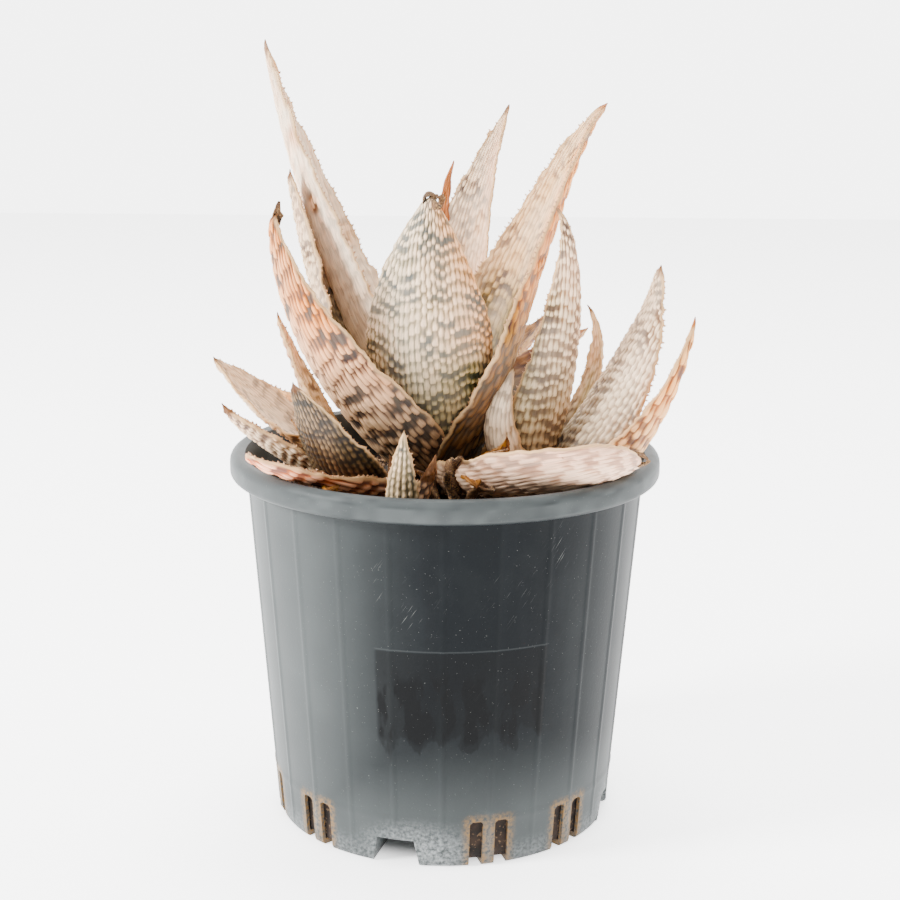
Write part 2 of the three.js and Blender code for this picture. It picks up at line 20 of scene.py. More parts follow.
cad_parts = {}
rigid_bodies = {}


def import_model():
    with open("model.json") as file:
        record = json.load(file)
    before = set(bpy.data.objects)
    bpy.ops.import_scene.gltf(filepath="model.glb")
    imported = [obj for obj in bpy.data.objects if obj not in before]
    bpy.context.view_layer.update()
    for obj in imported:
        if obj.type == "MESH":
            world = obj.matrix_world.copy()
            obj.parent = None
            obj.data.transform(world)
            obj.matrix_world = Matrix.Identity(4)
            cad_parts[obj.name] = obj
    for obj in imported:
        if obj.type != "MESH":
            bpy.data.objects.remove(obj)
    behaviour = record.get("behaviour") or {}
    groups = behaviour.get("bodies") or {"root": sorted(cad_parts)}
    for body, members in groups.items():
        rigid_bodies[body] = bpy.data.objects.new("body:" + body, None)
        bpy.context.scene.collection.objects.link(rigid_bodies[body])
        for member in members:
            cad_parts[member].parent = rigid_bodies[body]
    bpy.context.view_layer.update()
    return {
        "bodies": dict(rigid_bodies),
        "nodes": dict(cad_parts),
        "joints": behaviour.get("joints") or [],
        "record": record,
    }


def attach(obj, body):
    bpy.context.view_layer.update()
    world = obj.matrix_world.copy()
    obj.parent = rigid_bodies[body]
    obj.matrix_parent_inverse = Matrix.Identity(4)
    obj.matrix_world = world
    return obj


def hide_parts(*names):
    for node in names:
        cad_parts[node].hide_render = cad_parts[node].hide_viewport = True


LOG = logging.getLogger("aloe")
MM = 0.001

Array = np.ndarray
Colour = tuple[float, float, float, float]
Socket = bpy.types.NodeSocket

# Places of the mix node's colour sockets
MIX_A, MIX_B, MIX_RESULT = 6, 7, 2


def linear(code: str) -> Colour:
    """Turns an sRGB hex colour into linear light.

    Args:
        code: six hex digits, with or without a leading hash.

    Returns:
        Red, green, blue and an alpha of one.
    """
    digits = code.lstrip("#")
    channels = [int(digits[i : i + 2], 16) / 255 for i in (0, 2, 4)]
    light = [c / 12.92 if c <= 0.04045 else ((c + 0.055) / 1.055) ** 2.4 for c in channels]
    return (light[0], light[1], light[2], 1.0)


def add_node(
    tree: bpy.types.NodeTree,
    kind: str,
    settings: dict[str, object] | None = None,
    inputs: dict[str | int, object] | None = None,
) -> bpy.types.Node:
    """Adds one node, sets its properties, and fills or links its inputs.

    Args:
        tree: the node tree that takes the node.
        kind: Blender's type name of the node.
        settings: properties to set on the node.
        inputs: a value or another node's output for each named or numbered input.

    Returns:
        The new node.
    """
    node = tree.nodes.new(kind)
    for key, value in (settings or {}).items():
        setattr(node, key, value)
    for key, value in (inputs or {}).items():
        if isinstance(value, bpy.types.NodeSocket):
            tree.links.new(value, node.inputs[key])
        else:
            node.inputs[key].default_value = value
    return node


def paint_layers(
    tree: bpy.types.NodeTree,
    base: Socket | Colour,
    layers: list[tuple[object, str]],
    blend: str = "MIX",
) -> Socket:
    """Lays colours over a base, one after another, each through its own mask.

    Args:
        tree: the material's node tree.
        base: the colour that the layers cover.
        layers: pairs of a mask, from 0 to 1, and the hex colour that it lets through.
        blend: MIX for paint that covers, MULTIPLY for a wash that tints.

    Returns:
        The colour after the last layer.
    """
    colour: object = base
    for mask, code in layers:
        mix = add_node(
            tree,
            "ShaderNodeMix",
            {"data_type": "RGBA", "blend_type": blend},
            {0: mask, MIX_A: colour, MIX_B: linear(code)},
        )
        colour = mix.outputs[MIX_RESULT]
    return colour


def new_material(name: str) -> tuple[bpy.types.Material, bpy.types.NodeTree]:
    """Starts a material with an empty node tree.

    Args:
        name: the material's name.

    Returns:
        The material and its tree.
    """
    material = bpy.data.materials.new(name)
    material.use_nodes = True
    material.node_tree.nodes.clear()
    return material, material.node_tree


def finish_material(tree: bpy.types.NodeTree, surface: dict[str, object]) -> None:
    """Ends a material's tree.

    Args:
        tree: the material's node tree.
        surface: a value or another node's output for each named input of the surface's shader.
    """
    shader = add_node(tree, "ShaderNodeBsdfPrincipled", None, surface)
    add_node(tree, "ShaderNodeOutputMaterial", None, {"Surface": shader.outputs[0]})


def object_place(tree: bpy.types.NodeTree) -> Socket:
    """Gives the place on the object, in metres."""
    return add_node(tree, "ShaderNodeTexCoord").outputs["Object"]


def read_marks(tree: bpy.types.NodeTree, keys: tuple[str, ...]) -> dict[str, Socket]:
    """Reads the numbers that the mesh holds under these names."""
    nodes = {key: add_node(tree, "ShaderNodeAttribute", {"attribute_name": key}) for key in keys}
    return {key: node.outputs["Fac"] for key, node in nodes.items()}


def add_noise(
    tree: bpy.types.NodeTree,
    place: Socket,
    size: float | tuple[float, ...],
    detail: float,
    rough: float = 0.5,
    lean: float = 0.0,
) -> Socket:
    """Adds a noise texture.

    Args:
        tree: the material's node tree.
        place: the coordinates that it reads, in metres.
        size: the width of its cells in millimetres, or their width along each axis.
        detail: the number of finer layers in it.
        rough: how strong each finer layer is.
        lean: how far long cells are turned, in degrees.

    Returns:
        A field from 0 to 1.
    """
    scale = 1.0
    if isinstance(size, tuple):
        widths = [width * MM for width in size] + [1.0] * (3 - len(size))
        turned = {"Vector": place, "Rotation": (0.0, 0.0, math.radians(lean)), "Scale": widths}
        place = add_node(tree, "ShaderNodeMapping", {"vector_type": "TEXTURE"}, turned).outputs[0]
    else:
        scale = 1 / (size * MM)
    node = add_node(
        tree, "ShaderNodeTexNoise", None,
        {"Vector": place, "Scale": scale, "Detail": detail, "Roughness": rough},
    )
    return node.outputs["Fac"]


def remap(
    tree: bpy.types.NodeTree,
    value: Socket,
    span: tuple[float, float],
    ends: tuple[float, float] = (0.0, 1.0),
    smooth: bool = False,
) -> Socket:
    """Turns one span of a field into another and holds it at the ends.

    Args:
        tree: the node tree that takes the node.
        value: the field.
        span: the two values of the field that become the ends.
        ends: the two values that they become.
        smooth: whether the field eases in and out at the ends.

    Returns:
        The new field.
    """
    node = add_node(
        tree,
        "ShaderNodeMapRange",
        {"interpolation_type": "SMOOTHSTEP" if smooth else "LINEAR"},
        {"Value": value, "From Min": span[0], "From Max": span[1], "To Min": ends[0], "To Max": ends[1]},
    )
    return node.outputs[0]


def multiply(tree: bpy.types.NodeTree, *fields: object) -> Socket:
    """Multiplies fields and numbers, one after another."""
    product, *others = fields
    for other in others:
        node = add_node(tree, "ShaderNodeMath", {"operation": "MULTIPLY"}, {0: product, 1: other})
        product = node.outputs[0]
    return product


def add_bump(tree: bpy.types.NodeTree, height: Socket, strength: float, depth: float) -> Socket:
    """Turns a field into fine relief, with its depth in millimetres."""
    relief = {"Strength": strength, "Distance": depth * MM, "Height": height}
    return add_node(tree, "ShaderNodeBump", None, relief).outputs[0]


def chance(ix: Array, iy: Array, seed: int) -> Array:
    """Gives each pair of whole numbers its own fixed random number from 0 to 1."""
    x = np.asarray(ix, np.int64).astype(np.uint64)
    y = np.asarray(iy, np.int64).astype(np.uint64)
    word = np.uint64(0xFFFFFFFF)
    mixed = (x * np.uint64(374761393) + y * np.uint64(668265263)) & word
    mixed = (mixed + np.uint64(seed) * np.uint64(974634777)) & word
    mixed = ((mixed ^ (mixed >> np.uint64(13))) * np.uint64(1274126177)) & word
    return ((mixed ^ (mixed >> np.uint64(16))) & np.uint64(0xFFFF)).astype(float) / 65535.0


def ease(t: Array | float) -> Array | float:
    """Clamps to 0..1 and rounds both ends off."""
    u = np.clip(t, 0.0, 1.0)
    return u * u * (3 - 2 * u)


def drift(x: Array, y: Array, seed: int) -> Array:
    """Smooth random field from 0 to 1 with one cell to each unit.

    Args:
        x: first coordinate.
        y: second coordinate.
        seed: picks one field among many.

    Returns:
        The field's value at each point.
    """
    fx, fy = np.floor(x), np.floor(y)
    tx, ty = ease(x - fx), ease(y - fy)
    low = chance(fx, fy, seed) * (1 - tx) + chance(fx + 1, fy, seed) * tx
    high = chance(fx, fy + 1, seed) * (1 - tx) + chance(fx + 1, fy + 1, seed) * tx
    return low * (1 - ty) + high * ty


def mesh_object(
    name: str, points: Array, quads: Array, extra: list[tuple[int, ...]] | None = None
) -> bpy.types.Object:
    """Makes a smooth mesh object from points in millimetres.

    Args:
        name: the object's and the mesh's name.
        points: one row of x, y and z for each vertex.
        quads: one row of four vertex numbers for each face.
        extra: further faces with any number of corners.

    Returns:
        The linked object, which sits at the origin.
    """
    mesh = bpy.data.meshes.new(name)
    faces = [tuple(row) for row in quads.tolist()] + list(extra or [])
    mesh.from_pydata((points * MM).tolist(), [], faces)
    mesh.update()
    mesh.polygons.foreach_set("use_smooth", [True] * len(mesh.polygons))
    thing = bpy.data.objects.new(name, mesh)
    bpy.context.scene.collection.objects.link(thing)
    return thing


def mark_mesh(mesh: bpy.types.Mesh, uv: Array, marks: dict[str, Array]) -> None:
    """Gives a mesh its surface coordinates and its named numbers.

    Args:
        mesh: the mesh that takes them.
        uv: one row of two numbers, in metres, for each vertex.
        marks: named numbers for each vertex, read by the materials.
    """
    layer = mesh.uv_layers.new(name="UVMap")
    corners = np.zeros(len(mesh.loops), np.int32)
    mesh.loops.foreach_get("vertex_index", corners)
    layer.data.foreach_set("uv", uv[corners].astype(np.float32).ravel())
    for key, values in marks.items():
        mark = mesh.attributes.new(key, "FLOAT", "POINT")
        mark.data.foreach_set("value", np.asarray(values, np.float32))


def ring_quads(steps: int, ring: int) -> Array:
    """Joins closed rings of points, each to the next.

    Args:
        steps: the number of gaps between the rings.
        ring: the number of points in each ring.

    Returns:
        One row of four vertex numbers for each face.
    """
    first = np.arange(steps)[:, None] * ring
    k = np.arange(ring)[None, :]
    here, after = first + k, first + (k + 1) % ring
    return np.stack([here, after, after + ring, here + ring], axis=2).reshape(-1, 4)


def bake_nodes(
    name: str, host: bpy.types.Object, tree: bpy.types.NodeTree, values: dict[str, object]
) -> bpy.types.Object:
    """Runs a node tree on a host object and keeps the result as a plain mesh.

    Args:
        name: the new object's name.
        host: the object that the tree reads, which is removed afterwards.
        tree: the geometry node tree.
        values: a value for each of the tree's named inputs.

    Returns:
        The plain object.
    """
    modifier = host.modifiers.new("repeat", "NODES")
    modifier.node_group = tree
    for item in tree.interface.items_tree:
        if item.item_type == "SOCKET" and item.in_out == "INPUT" and item.name in values:
            modifier[item.identifier] = values[item.name]
    bpy.context.view_layer.update()
    graph = bpy.context.evaluated_depsgraph_get()
    mesh = bpy.data.meshes.new_from_object(host.evaluated_get(graph), depsgraph=graph)
    mesh.name = name
    host.modifiers.remove(modifier)
    bpy.data.objects.remove(host)
    thing = bpy.data.objects.new(name, mesh)
    bpy.context.scene.collection.objects.link(thing)
    return thing


def new_group(name: str, sockets: list[tuple[str, str]]) -> tuple[bpy.types.NodeTree, bpy.types.Node]:
    """Starts a geometry node tree with a mesh input, named sizes and a mesh output.

    Args:
        name: the tree's name.
        sockets: the name and the socket type of each size.

    Returns:
        The tree and its input node.
    """
    tree = bpy.data.node_groups.new(name, "GeometryNodeTree")
    tree.interface.new_socket("Geometry", in_out="INPUT", socket_type="NodeSocketGeometry")
    for label, kind in sockets:
        tree.interface.new_socket(label, in_out="INPUT", socket_type=kind)
    tree.interface.new_socket("Geometry", in_out="OUTPUT", socket_type="NodeSocketGeometry")
    return tree, add_node(tree, "NodeGroupInput")


def finish_group(tree: bpy.types.NodeTree, instances: Socket, material: Socket) -> None:
    """Ends a tree: instances become real, take their material and leave the tree."""
    real = add_node(tree, "GeometryNodeRealizeInstances", None, {0: instances})
    dressed = add_node(
        tree, "GeometryNodeSetMaterial", None, {"Geometry": real.outputs[0], "Material": material}
    )
    add_node(tree, "NodeGroupOutput", None, {0: dressed.outputs[0]})


class Slot(Enum):
    """The material slots of the part's record, after which the leaves' skins are named."""

    POT = "pot_plastic"
    SOIL = "soil"
    GREEN = "leaf_green"
    BROWN = "leaf_brown"
    TAN = "leaf_tan"
    PINK = "leaf_pink"
    PALE = "leaf_pale"
    DRY = "dry_leaf"


@dataclass(frozen=True)
class LeafSkin:
    """Waxy leaf skin with raised cream flecks, sun-flushed in places and olive low down.

    The real skin is a thin translucent cuticle over pale flesh. It has a soft satin sheen, and
    the flecks are slightly raised and paler than the ground between them. Painted shade darkens
    the leaf's base and its hollow low down, and part of the olive low down is painted shade too.
    """

    slot: Slot
    ground: str
    dark: str
    fleck: str
    hollow: str
    margin: str = "#d8b997"
    tip: str = "#5b3a24"
    # Painted shade at the leaf's base, multiplied over it
    foot: str = "#6f5a45"
    sun: str = "#ffa860"
    olive: str = "#85895c"
    shade: str = "#4a4432"
    frost: str = "#f4e4d0"
    blemish: str = "#6a4026"
    saturation: float = 1.32

    def material(self) -> bpy.types.Material:
        """Builds the skin's node material.

        Returns:
            The material, named for its slot.
        """
        skin, tree = new_material(f"skin_{self.slot.value}")
        marks = read_marks(
            tree, ("fleck", "band", "rim", "foot", "dry", "hollow", "frost", "sun", "olive", "deep")
        )
        place = object_place(tree)
        uv = add_node(tree, "ShaderNodeUVMap").outputs[0]
        # Veins run along the leaf, about 0.6 mm apart and 9 mm long
        veins = add_noise(tree, uv, (0.6, 9.0), 3.0)
        # Stains are 8 mm across, and blemishes 2.5 mm
        stains = add_noise(tree, place, 8.0, 4.0, 0.6)
        stain = remap(tree, stains, (0.45, 0.7), (0.0, 0.5))
        blemish = remap(tree, add_noise(tree, place, 2.5, 2.0), (0.74, 0.8), (0.0, 0.6))
        spread = [
            (marks["hollow"], self.hollow),
            (stain, self.dark),
            (marks["band"], self.dark),
            (marks["fleck"], self.fleck),
        ]
        flush = [(marks["sun"], self.sun), (marks["olive"], self.olive)]
        # Painted shade: the leaf's base and the low part of its hollow are multiplied darker, where the
        # rosette shades them
        low = [(marks["foot"], self.foot), (marks["deep"], self.shade)]
        colour = paint_layers(tree, linear(self.ground), spread)
        colour = paint_layers(tree, colour, flush, "MULTIPLY")
        colour = paint_layers(tree, colour, [(marks["frost"], self.frost), (blemish, self.blemish)])
        colour = paint_layers(tree, colour, low, "MULTIPLY")
        colour = paint_layers(tree, colour, [(marks["rim"], self.margin), (marks["dry"], self.tip)])
        # Fine light and dark veins over everything
        tone = remap(tree, veins, (0.3, 0.7), (0.75, 1.15))
        final = add_node(
            tree, "ShaderNodeHueSaturation", None,
            {"Saturation": self.saturation, "Value": tone, "Color": colour},
        )
        finish_material(
            tree,
            {
                "Base Color": final.outputs[0],
                "Roughness": remap(tree, stains, (0.0, 1.0), (0.45, 0.7)),
                "Normal": add_bump(tree, veins, 0.6, 0.4),
                "IOR": 1.42,
            },
        )
        return skin


SKINS: dict[Slot, LeafSkin] = {
    Slot.GREEN: LeafSkin(Slot.GREEN, "#82785f", "#314047", "#fde9cf", "#8f8460"),
    Slot.BROWN: LeafSkin(Slot.BROWN, "#604438", "#221817", "#f0ceb2", "#7c6850", sun="#ffb078"),
    Slot.TAN: LeafSkin(Slot.TAN, "#8a5a3e", "#3d2a28", "#f8d6b0", "#cba684", tip="#8a4f28"),
    Slot.PINK: LeafSkin(Slot.PINK, "#a87a5e", "#523634", "#fde6cf", "#c8a58b", sun="#ff8f74"),
    Slot.PALE: LeafSkin(Slot.PALE, "#9c8067", "#473834", "#fde9cf", "#dcc4a8", sun="#ff9c72"),
    Slot.DRY: LeafSkin(Slot.DRY, "#5c3a20", "#2e1b0f", "#8f6a42", "#6b4a2b", margin="#7c5632"),
}


@dataclass(frozen=True)
class Pattern:
    """How the raised flecks and the dark bands lie on a leaf, in millimetres.

    Flecks stand in columns one pitch apart, a length apart along the leaf. gap is the share of
    that length that stays dark at most, fill the share of the pitch that a fleck covers, scatter
    how far it strays from its neighbours' row, band how dark the gaps are and bands how cloudy.
    """

    pitch: float
    length: float
    gap: float
    fill: float
    relief: float
    scatter: float
    bands: float
    band: float


SHORT_FLECKS = Pattern(2.35, 5.4, 0.5, 0.95, 0.95, 1.3, 0.6, 0.72)
LONG_FLECKS = Pattern(2.4, 10.5, 0.42, 0.92, 0.95, 0.6, 0.6, 0.95)
DOT_FLECKS = Pattern(2.3, 3.8, 0.5, 0.72, 0.75, 0.8, 0.6, 0.8)
FAINT_FLECKS = Pattern(2.1, 9.5, 0.35, 1.0, 0.5, 1.2, 0.6, 0.5)
HOLLOW_FLECKS = Pattern(2.4, 7.0, 0.45, 0.9, 0.4, 1.0, 0.7, 0.7)


@dataclass(frozen=True)
class Crown:
    """One rosette's stem: its centre, the height of its top and its radius at the soil."""

    x: float
    y: float
    top: float
    radius: float


CROWNS: dict[str, Crown] = {
    "main": Crown(0, -4, 182, 13),
    "right": Crown(43, -12, 172, 10),
    "left": Crown(-42, -20, 170, 9),
    "back": Crown(-8, 58, 172, 10),
    "front": Crown(-17, -66, 162, 5),
}


@dataclass
class Leaf:
    """One leaf, on the same curve, width and thickness as its solid.

    The leaf leaves its crown at height z, at the heading root where it has one, and runs through
    middle to tip. It is widest, wide round its curve, at the share peak of its length, and keeps
    that width the longer the greater taper is. thick is its thickness at the base, and cup the
    half angle of its hollow. faces is the heading of its outer side at the base and at the tip,
    and tilt its elevation there. The outer side swings evenly, or all within the share turn of
    the length.

    sun and olive are the strength of the flush and of the olive green, partly painted shade, at the
    base and at the tip, side and green_side how much more of them the left margin has, frost how
    bleached the skin is, deep how far up the hollow the painted shade reaches, and shaded how much
    of that painted shade the outer side has. The leaf is dry from the share dry_from on, and hook is
    how far the dry tip bends. teeth is the size of the teeth on its margins. fine and hollow_step are
    how coarse its mesh is, all over and in the hollow.
    """

    name: str
    crown: str
    z: float
    middle: tuple[float, float, float]
    tip: tuple[float, float, float]
    faces: tuple[float, float]
    wide: float
    thick: float
    peak: float
    taper: float
    cup: float
    slot: Slot
    root: float | None = None
    turn: float | None = None
    tilt: tuple[float, float] = (-15.0, -15.0)
    pattern: Pattern = SHORT_FLECKS
    sun: tuple[float, float] = (0.05, 0.35)
    side: float = 0.0
    olive: tuple[float, float] = (0.5, 0.0)
    green_side: float = 0.0
    frost: float = 0.1
    deep: float = 0.5
    shaded: float = 0.2
    dry_from: float = 0.955
    teeth: float = 1.0
    hollow_step: float = 1.0
    fine: float = 1.0
    hook: tuple[float, float, float] = (0.0, 0.0, 0.0)
    length: float = field(init=False, default=0.0)

    # Steps of the mesh along and across the leaf, then the thickness of the margin and the length
    # over which the tip narrows
    FINE_ALONG: ClassVar[float] = 0.95
    FINE_ACROSS: ClassVar[float] = 0.48
    EDGE: ClassVar[float] = 0.8
    TIP_EASE: ClassVar[float] = 4.0

    def number(self) -> int:
        """A fixed number for this leaf's random draws."""
        return sum(ord(c) * (i + 3) for i, c in enumerate(self.name)) % 9973

    def curve(self) -> tuple[Array, Array]:
        """Works out the spine.

        Returns:
            Points along the spine at even spacing of its length, and the tangents there.
        """
        crown = CROWNS[self.crown]
        middle, tip = np.array(self.middle, float), np.array(self.tip, float)
        heading = math.atan2(middle[1] - crown.y, middle[0] - crown.x)
        if self.root is not None:
            heading = math.radians(self.root)
        reach = crown.radius * 0.7
        start = np.array(
            [crown.x + reach * math.cos(heading), crown.y + reach * math.sin(heading), self.z]
        )
        pull = 2 * middle - 0.5 * (start + tip)
        t = np.linspace(0, 1, 401)[:, None]
        line = (1 - t) ** 2 * start + 2 * t * (1 - t) * pull + t**2 * tip
        steps = np.linalg.norm(np.diff(line, axis=0), axis=1)
        gone = np.concatenate([[0], np.cumsum(steps)])
        self.length = float(gone[-1])
        count = max(14, round(self.length / (self.FINE_ALONG * self.fine)))
        even = np.interp(np.linspace(0, self.length, count + 1), gone, t[:, 0])[:, None]
        points = (1 - even) ** 2 * start + 2 * even * (1 - even) * pull + even**2 * tip
        share = np.linspace(0, 1, count + 1)[:, None]
        withered = np.clip((share - self.dry_from) / (1 - self.dry_from), 0, 1)
        points = points + np.array(self.hook) * withered**2
        tangents = (1 - even) * (pull - start) + even * (tip - pull)
        return points, tangents / np.linalg.norm(tangents, axis=1, keepdims=True)

    def half_width(self, s: Array) -> Array:
        """Half the blade's arc width at each share s of the length."""
        narrow = 0.66 + 0.34 * np.sin(np.pi / 2 * np.clip(s / self.peak, 0, 1))
        fall = np.clip((s - self.peak) / (1 - self.peak), 0, 1)
        body = np.where(s < self.peak, narrow, np.maximum(1 - fall**self.taper, 0.03))
        point = np.sqrt(np.clip((1 - s) * self.length / self.TIP_EASE, 0.02, 1))
        return self.wide / 2 * body * point

    def cup_angle(self, s: Array) -> Array:
        """Half angle of the hollow at each share s of the length."""
        clasp = min(1.15, float(self.half_width(np.zeros(1))[0]) / CROWNS[self.crown].radius)
        full = math.radians(self.cup)
        blend = clasp + (full - clasp) * ease(s / 0.3)
        return blend * (1 - 0.35 * np.clip((s - 0.3) / 0.7, 0, 1))

    def thickness(self, s: Array) -> Array:
        """Thickness of the blade on its middle line."""
        point = np.sqrt(np.clip((1 - s) * self.length / self.TIP_EASE, 0.08, 1))
        return (1.3 + (self.thick - 1.3) * (1 - s) ** 0.8) * point

    def axes(self, tangents: Array, s: Array) -> tuple[Array, Array]:
        """Gives the directions across the blade and up out of its hollow.

        Args:
            tangents: the spine's direction at each station.
            s: the share of the length at each station.

        Returns:
            Two rows of unit vectors.
        """
        swing = s if self.turn is None else ease(s / self.turn)
        heading = np.radians(self.faces[0] + (self.faces[1] - self.faces[0]) * swing)
        rise = np.radians(self.tilt[0] + (self.tilt[1] - self.tilt[0]) * s)
        outer = np.stack(
            [np.cos(heading) * np.cos(rise), np.sin(heading) * np.cos(rise), np.sin(rise)], axis=1
        )
        across = np.cross(outer, tangents)
        across /= np.linalg.norm(across, axis=1, keepdims=True)
        return across, np.cross(across, tangents)

    def margin_wave(self, a: Array, side: Array) -> tuple[Array, Array]:
        """Gives the ragged line of a margin.

        Args:
            a: distance along the leaf.
            side: -1 or 1 for the margin.

        Returns:
            How far the margin stands out, and how far it is lifted, in millimetres.
        """
        seed = self.number()
        ragged = 1.1 * (drift(a / 2.6, side * 3, seed + 11) - 0.5)
        ragged = ragged + 0.6 * (drift(a / 1.1, side * 3, seed + 12) - 0.5)
        lifted = 1.8 * (drift(a / 9, side * 3, seed + 13) - 0.5)
        room = np.clip((self.length - a) / 14, 0, 1)
        return ragged * room, lifted * room

    def flecks(self, a: Array, b: Array, pattern: Pattern, seed: int) -> tuple[Array, Array, Array]:
        """Lays out the raised flecks and the dark bands.

        Args:
            a: distance along the leaf.
            b: distance across the leaf.
            pattern: the spacing and size of the flecks.
            seed: picks the random draws.

        Returns:
            How much each point is fleck, how much it is band, and how far it is raised, 0 to 1.
        """
        wander = 0.5 * pattern.pitch * (drift(a / 16, b / 7, seed) - 0.5)
        lane = (b + wander) / pattern.pitch
        column = np.floor(lane)
        off = np.abs(2 * (lane - column) - 1)
        own = chance(column, column * 0, seed + 2) - 0.5
        slip = 1.6 * drift(column / 4.5, column * 0, seed + 3) + pattern.scatter * own
        turn = a / pattern.length + slip + 0.7 * drift(a / 15, column * 0.3, seed + 4)
        row = np.floor(turn)
        within = turn - row

        # Dark patches reach over several columns, and the flecks end in them like fingers
        patch = ease((drift(b / 7, a / pattern.length * 1.1, seed + 10) - 0.36) / 0.34)
        dark = np.clip(patch + 0.5 * (chance(column, row, seed + 12) - 0.5), 0, 1)
        reach = 1 - pattern.gap * (0.3 + 0.7 * dark)
        stub = 0.6 * pattern.pitch / pattern.length
        rounded = np.sqrt(1 - (1 - np.clip(within / stub, 0, 1)) ** 2)
        painted_light = np.clip((reach - within) / (0.45 * reach), 0, 1)
        wide = pattern.fill * (0.82 + 0.28 * chance(column, row, seed + 6)) * rounded
        wide = wide * (0.55 + 0.45 * painted_light)
        body = ease((wide - off) / 0.35 + 0.5) * ease(within / stub * 2.5)
        strong = 0.78 + 0.22 * chance(column, row, seed + 8)
        fleck = body * strong * (1 - (0.35 + 0.65 * dark) * (1 - ease(painted_light * 1.4)))
        dome = np.sqrt(np.clip(1 - (off / (wide + 0.15)) ** 2, 0, 1)) * rounded * (0.3 + 0.7 * painted_light)

        tail = ease((within - reach + 0.12) / 0.2)
        head = 1 - ease(within / (1.3 * stub))
        cloud = drift(a / 9, b / 12, seed + 14)
        band = pattern.band * (0.25 + 0.75 * dark) * np.maximum(tail, head) + pattern.bands * (cloud - 0.5)
        return fleck, np.clip(band, 0, 1), dome

    def tints(self, s: Array, v: Array, a: Array, lane: Array, below: Array) -> dict[str, Array]:
        """Works out the washes of colour over the leaf.

        Args:
            s: share of the length.
            v: place across the blade from -1 to 1.
            a: distance along the leaf.
            lane: distance across the leaf.
            below: 1 on the outer side and 0 in the hollow.

        Returns:
            The named marks for the skin's material.
        """
        seed = self.number()
        streak = drift(lane / 1.3, a / 12, seed + 21)
        cloud = drift(lane / 9, a / 16, seed + 22)
        sun = self.sun[0] + (self.sun[1] - self.sun[0]) * ease(s / 0.9) + self.side * v
        olive = self.olive[0] + (self.olive[1] - self.olive[0]) * ease(s / 0.8) + self.green_side * v
        # Partly painted shade: the middle of the hollow is greener and darker towards the base
        olive = olive + (1 - below) * 0.45 * (1 - np.abs(v)) * (1 - s)
        # Painted shade: the base of every leaf is darkened, low in the rosette where shade falls
        foot = ease((0.22 - s) / 0.2) * (0.6 + 0.4 * streak)
        ragged = 0.025 * (drift(lane / 1.6, a * 0, seed + 24) - 0.5)
        dry = ease((s + ragged - self.dry_from) / 0.03)
        # Painted shade: the hollow is darkened from the base up to the share deep, where the rosette shades
        # it, and the outer side takes the share shaded of that
        deep = ease((self.deep - s) / (0.8 * self.deep)) * (0.75 + 0.25 * streak)
        deep = deep * (1 - below + below * self.shaded)
        return {
            "deep": deep,
            "sun": np.clip(sun * (0.5 + 0.9 * cloud) + 0.12 * (streak - 0.5), 0, 1),
            "olive": np.clip(olive * (1.3 - 0.8 * cloud), 0, 1),
            "foot": foot,
            "dry": dry * (0.7 + 0.3 * streak),
            "frost": np.clip(self.frost * ease((cloud - 0.12) / 0.35) * (0.5 + 0.5 * streak), 0, 0.9)
            * (1 - foot),
            "hollow": 1 - below,
        }

    def build(self) -> bpy.types.Object:
        """Builds the fine leaf.

        Returns:
            The leaf's object, one closed mesh.
        """
        points, tangents = self.curve()
        count = len(points) - 1
        s = np.linspace(0, 1, count + 1)
        across, up = self.axes(tangents, s)
        backs = max(12, round(self.wide / (self.FINE_ACROSS * self.fine)))
        hollows = max(10, round(self.wide / (self.hollow_step * self.fine)))
        v = np.concatenate([np.linspace(-1, 1, hollows + 1), np.linspace(1, -1, backs + 1)])
        below = np.concatenate([np.zeros(hollows + 1), np.ones(backs + 1)])
        seed = self.number()

        grid_s = np.repeat(s[:, None], len(v), axis=1)
        grid_v = np.repeat(v[None, :], count + 1, axis=0)
        back = np.repeat(below[None, :], count + 1, axis=0)
        along = grid_s * self.length
        half = self.half_width(grid_s)
        angle = self.cup_angle(grid_s)
        radius = half / angle
        turn = grid_v * angle
        lane = grid_v * np.sqrt(half * self.wide / 2)
        shy = self.thickness(grid_s)
        edge = np.minimum(self.EDGE, shy)
        belly = edge + (shy - edge) * np.clip(np.cos(grid_v * np.pi / 2), 0, 1) ** 0.8

        fleck, band, dome = self.flecks(along, lane, self.pattern, seed)
        fleck_in, band_in, dome_in = self.flecks(along, lane, HOLLOW_FLECKS, seed + 50)
        to_edge = (1 - np.abs(grid_v)) * half
        fade = ease(to_edge / 1.3) * ease((1 - grid_s) * self.length / 6)
        dent = drift(along / 17, lane / 10, seed + 31) - 0.5
        marks = self.tints(grid_s, grid_v, along, lane, back)
        wrinkle = marks["dry"] * (drift(along / 1.5, lane / 1.2, seed + 32) - 0.5) * np.minimum(1, half / 2)
        lift_back = fade * self.pattern.relief * dome + 0.6 * dent * fade + 1.4 * wrinkle
        lift_in = fade * HOLLOW_FLECKS.relief * dome_in + 0.4 * dent * fade + 0.7 * wrinkle
        sink = np.where(back > 0, belly + np.minimum(lift_back, 1.1), -np.minimum(lift_in, 0.6))

        ragged, lifted = self.margin_wave(along, np.sign(grid_v))
        near = ease((np.abs(grid_v) - 0.8) / 0.2)
        out = np.sign(grid_v) * near * ragged
        sideways = (radius + sink) * np.sin(turn) + out * np.cos(turn)
        upward = radius - (radius + sink) * np.cos(turn) + out * np.sin(turn) + near * lifted
        place = (
            points[:, None, :]
            + across[:, None, :] * sideways[:, :, None]
            + up[:, None, :] * upward[:, :, None]
        )

        ring = len(v)
        quads = ring_quads(count, ring)
        closing = [tuple(range(ring))[::-1], tuple(range(count * ring, (count + 1) * ring))]

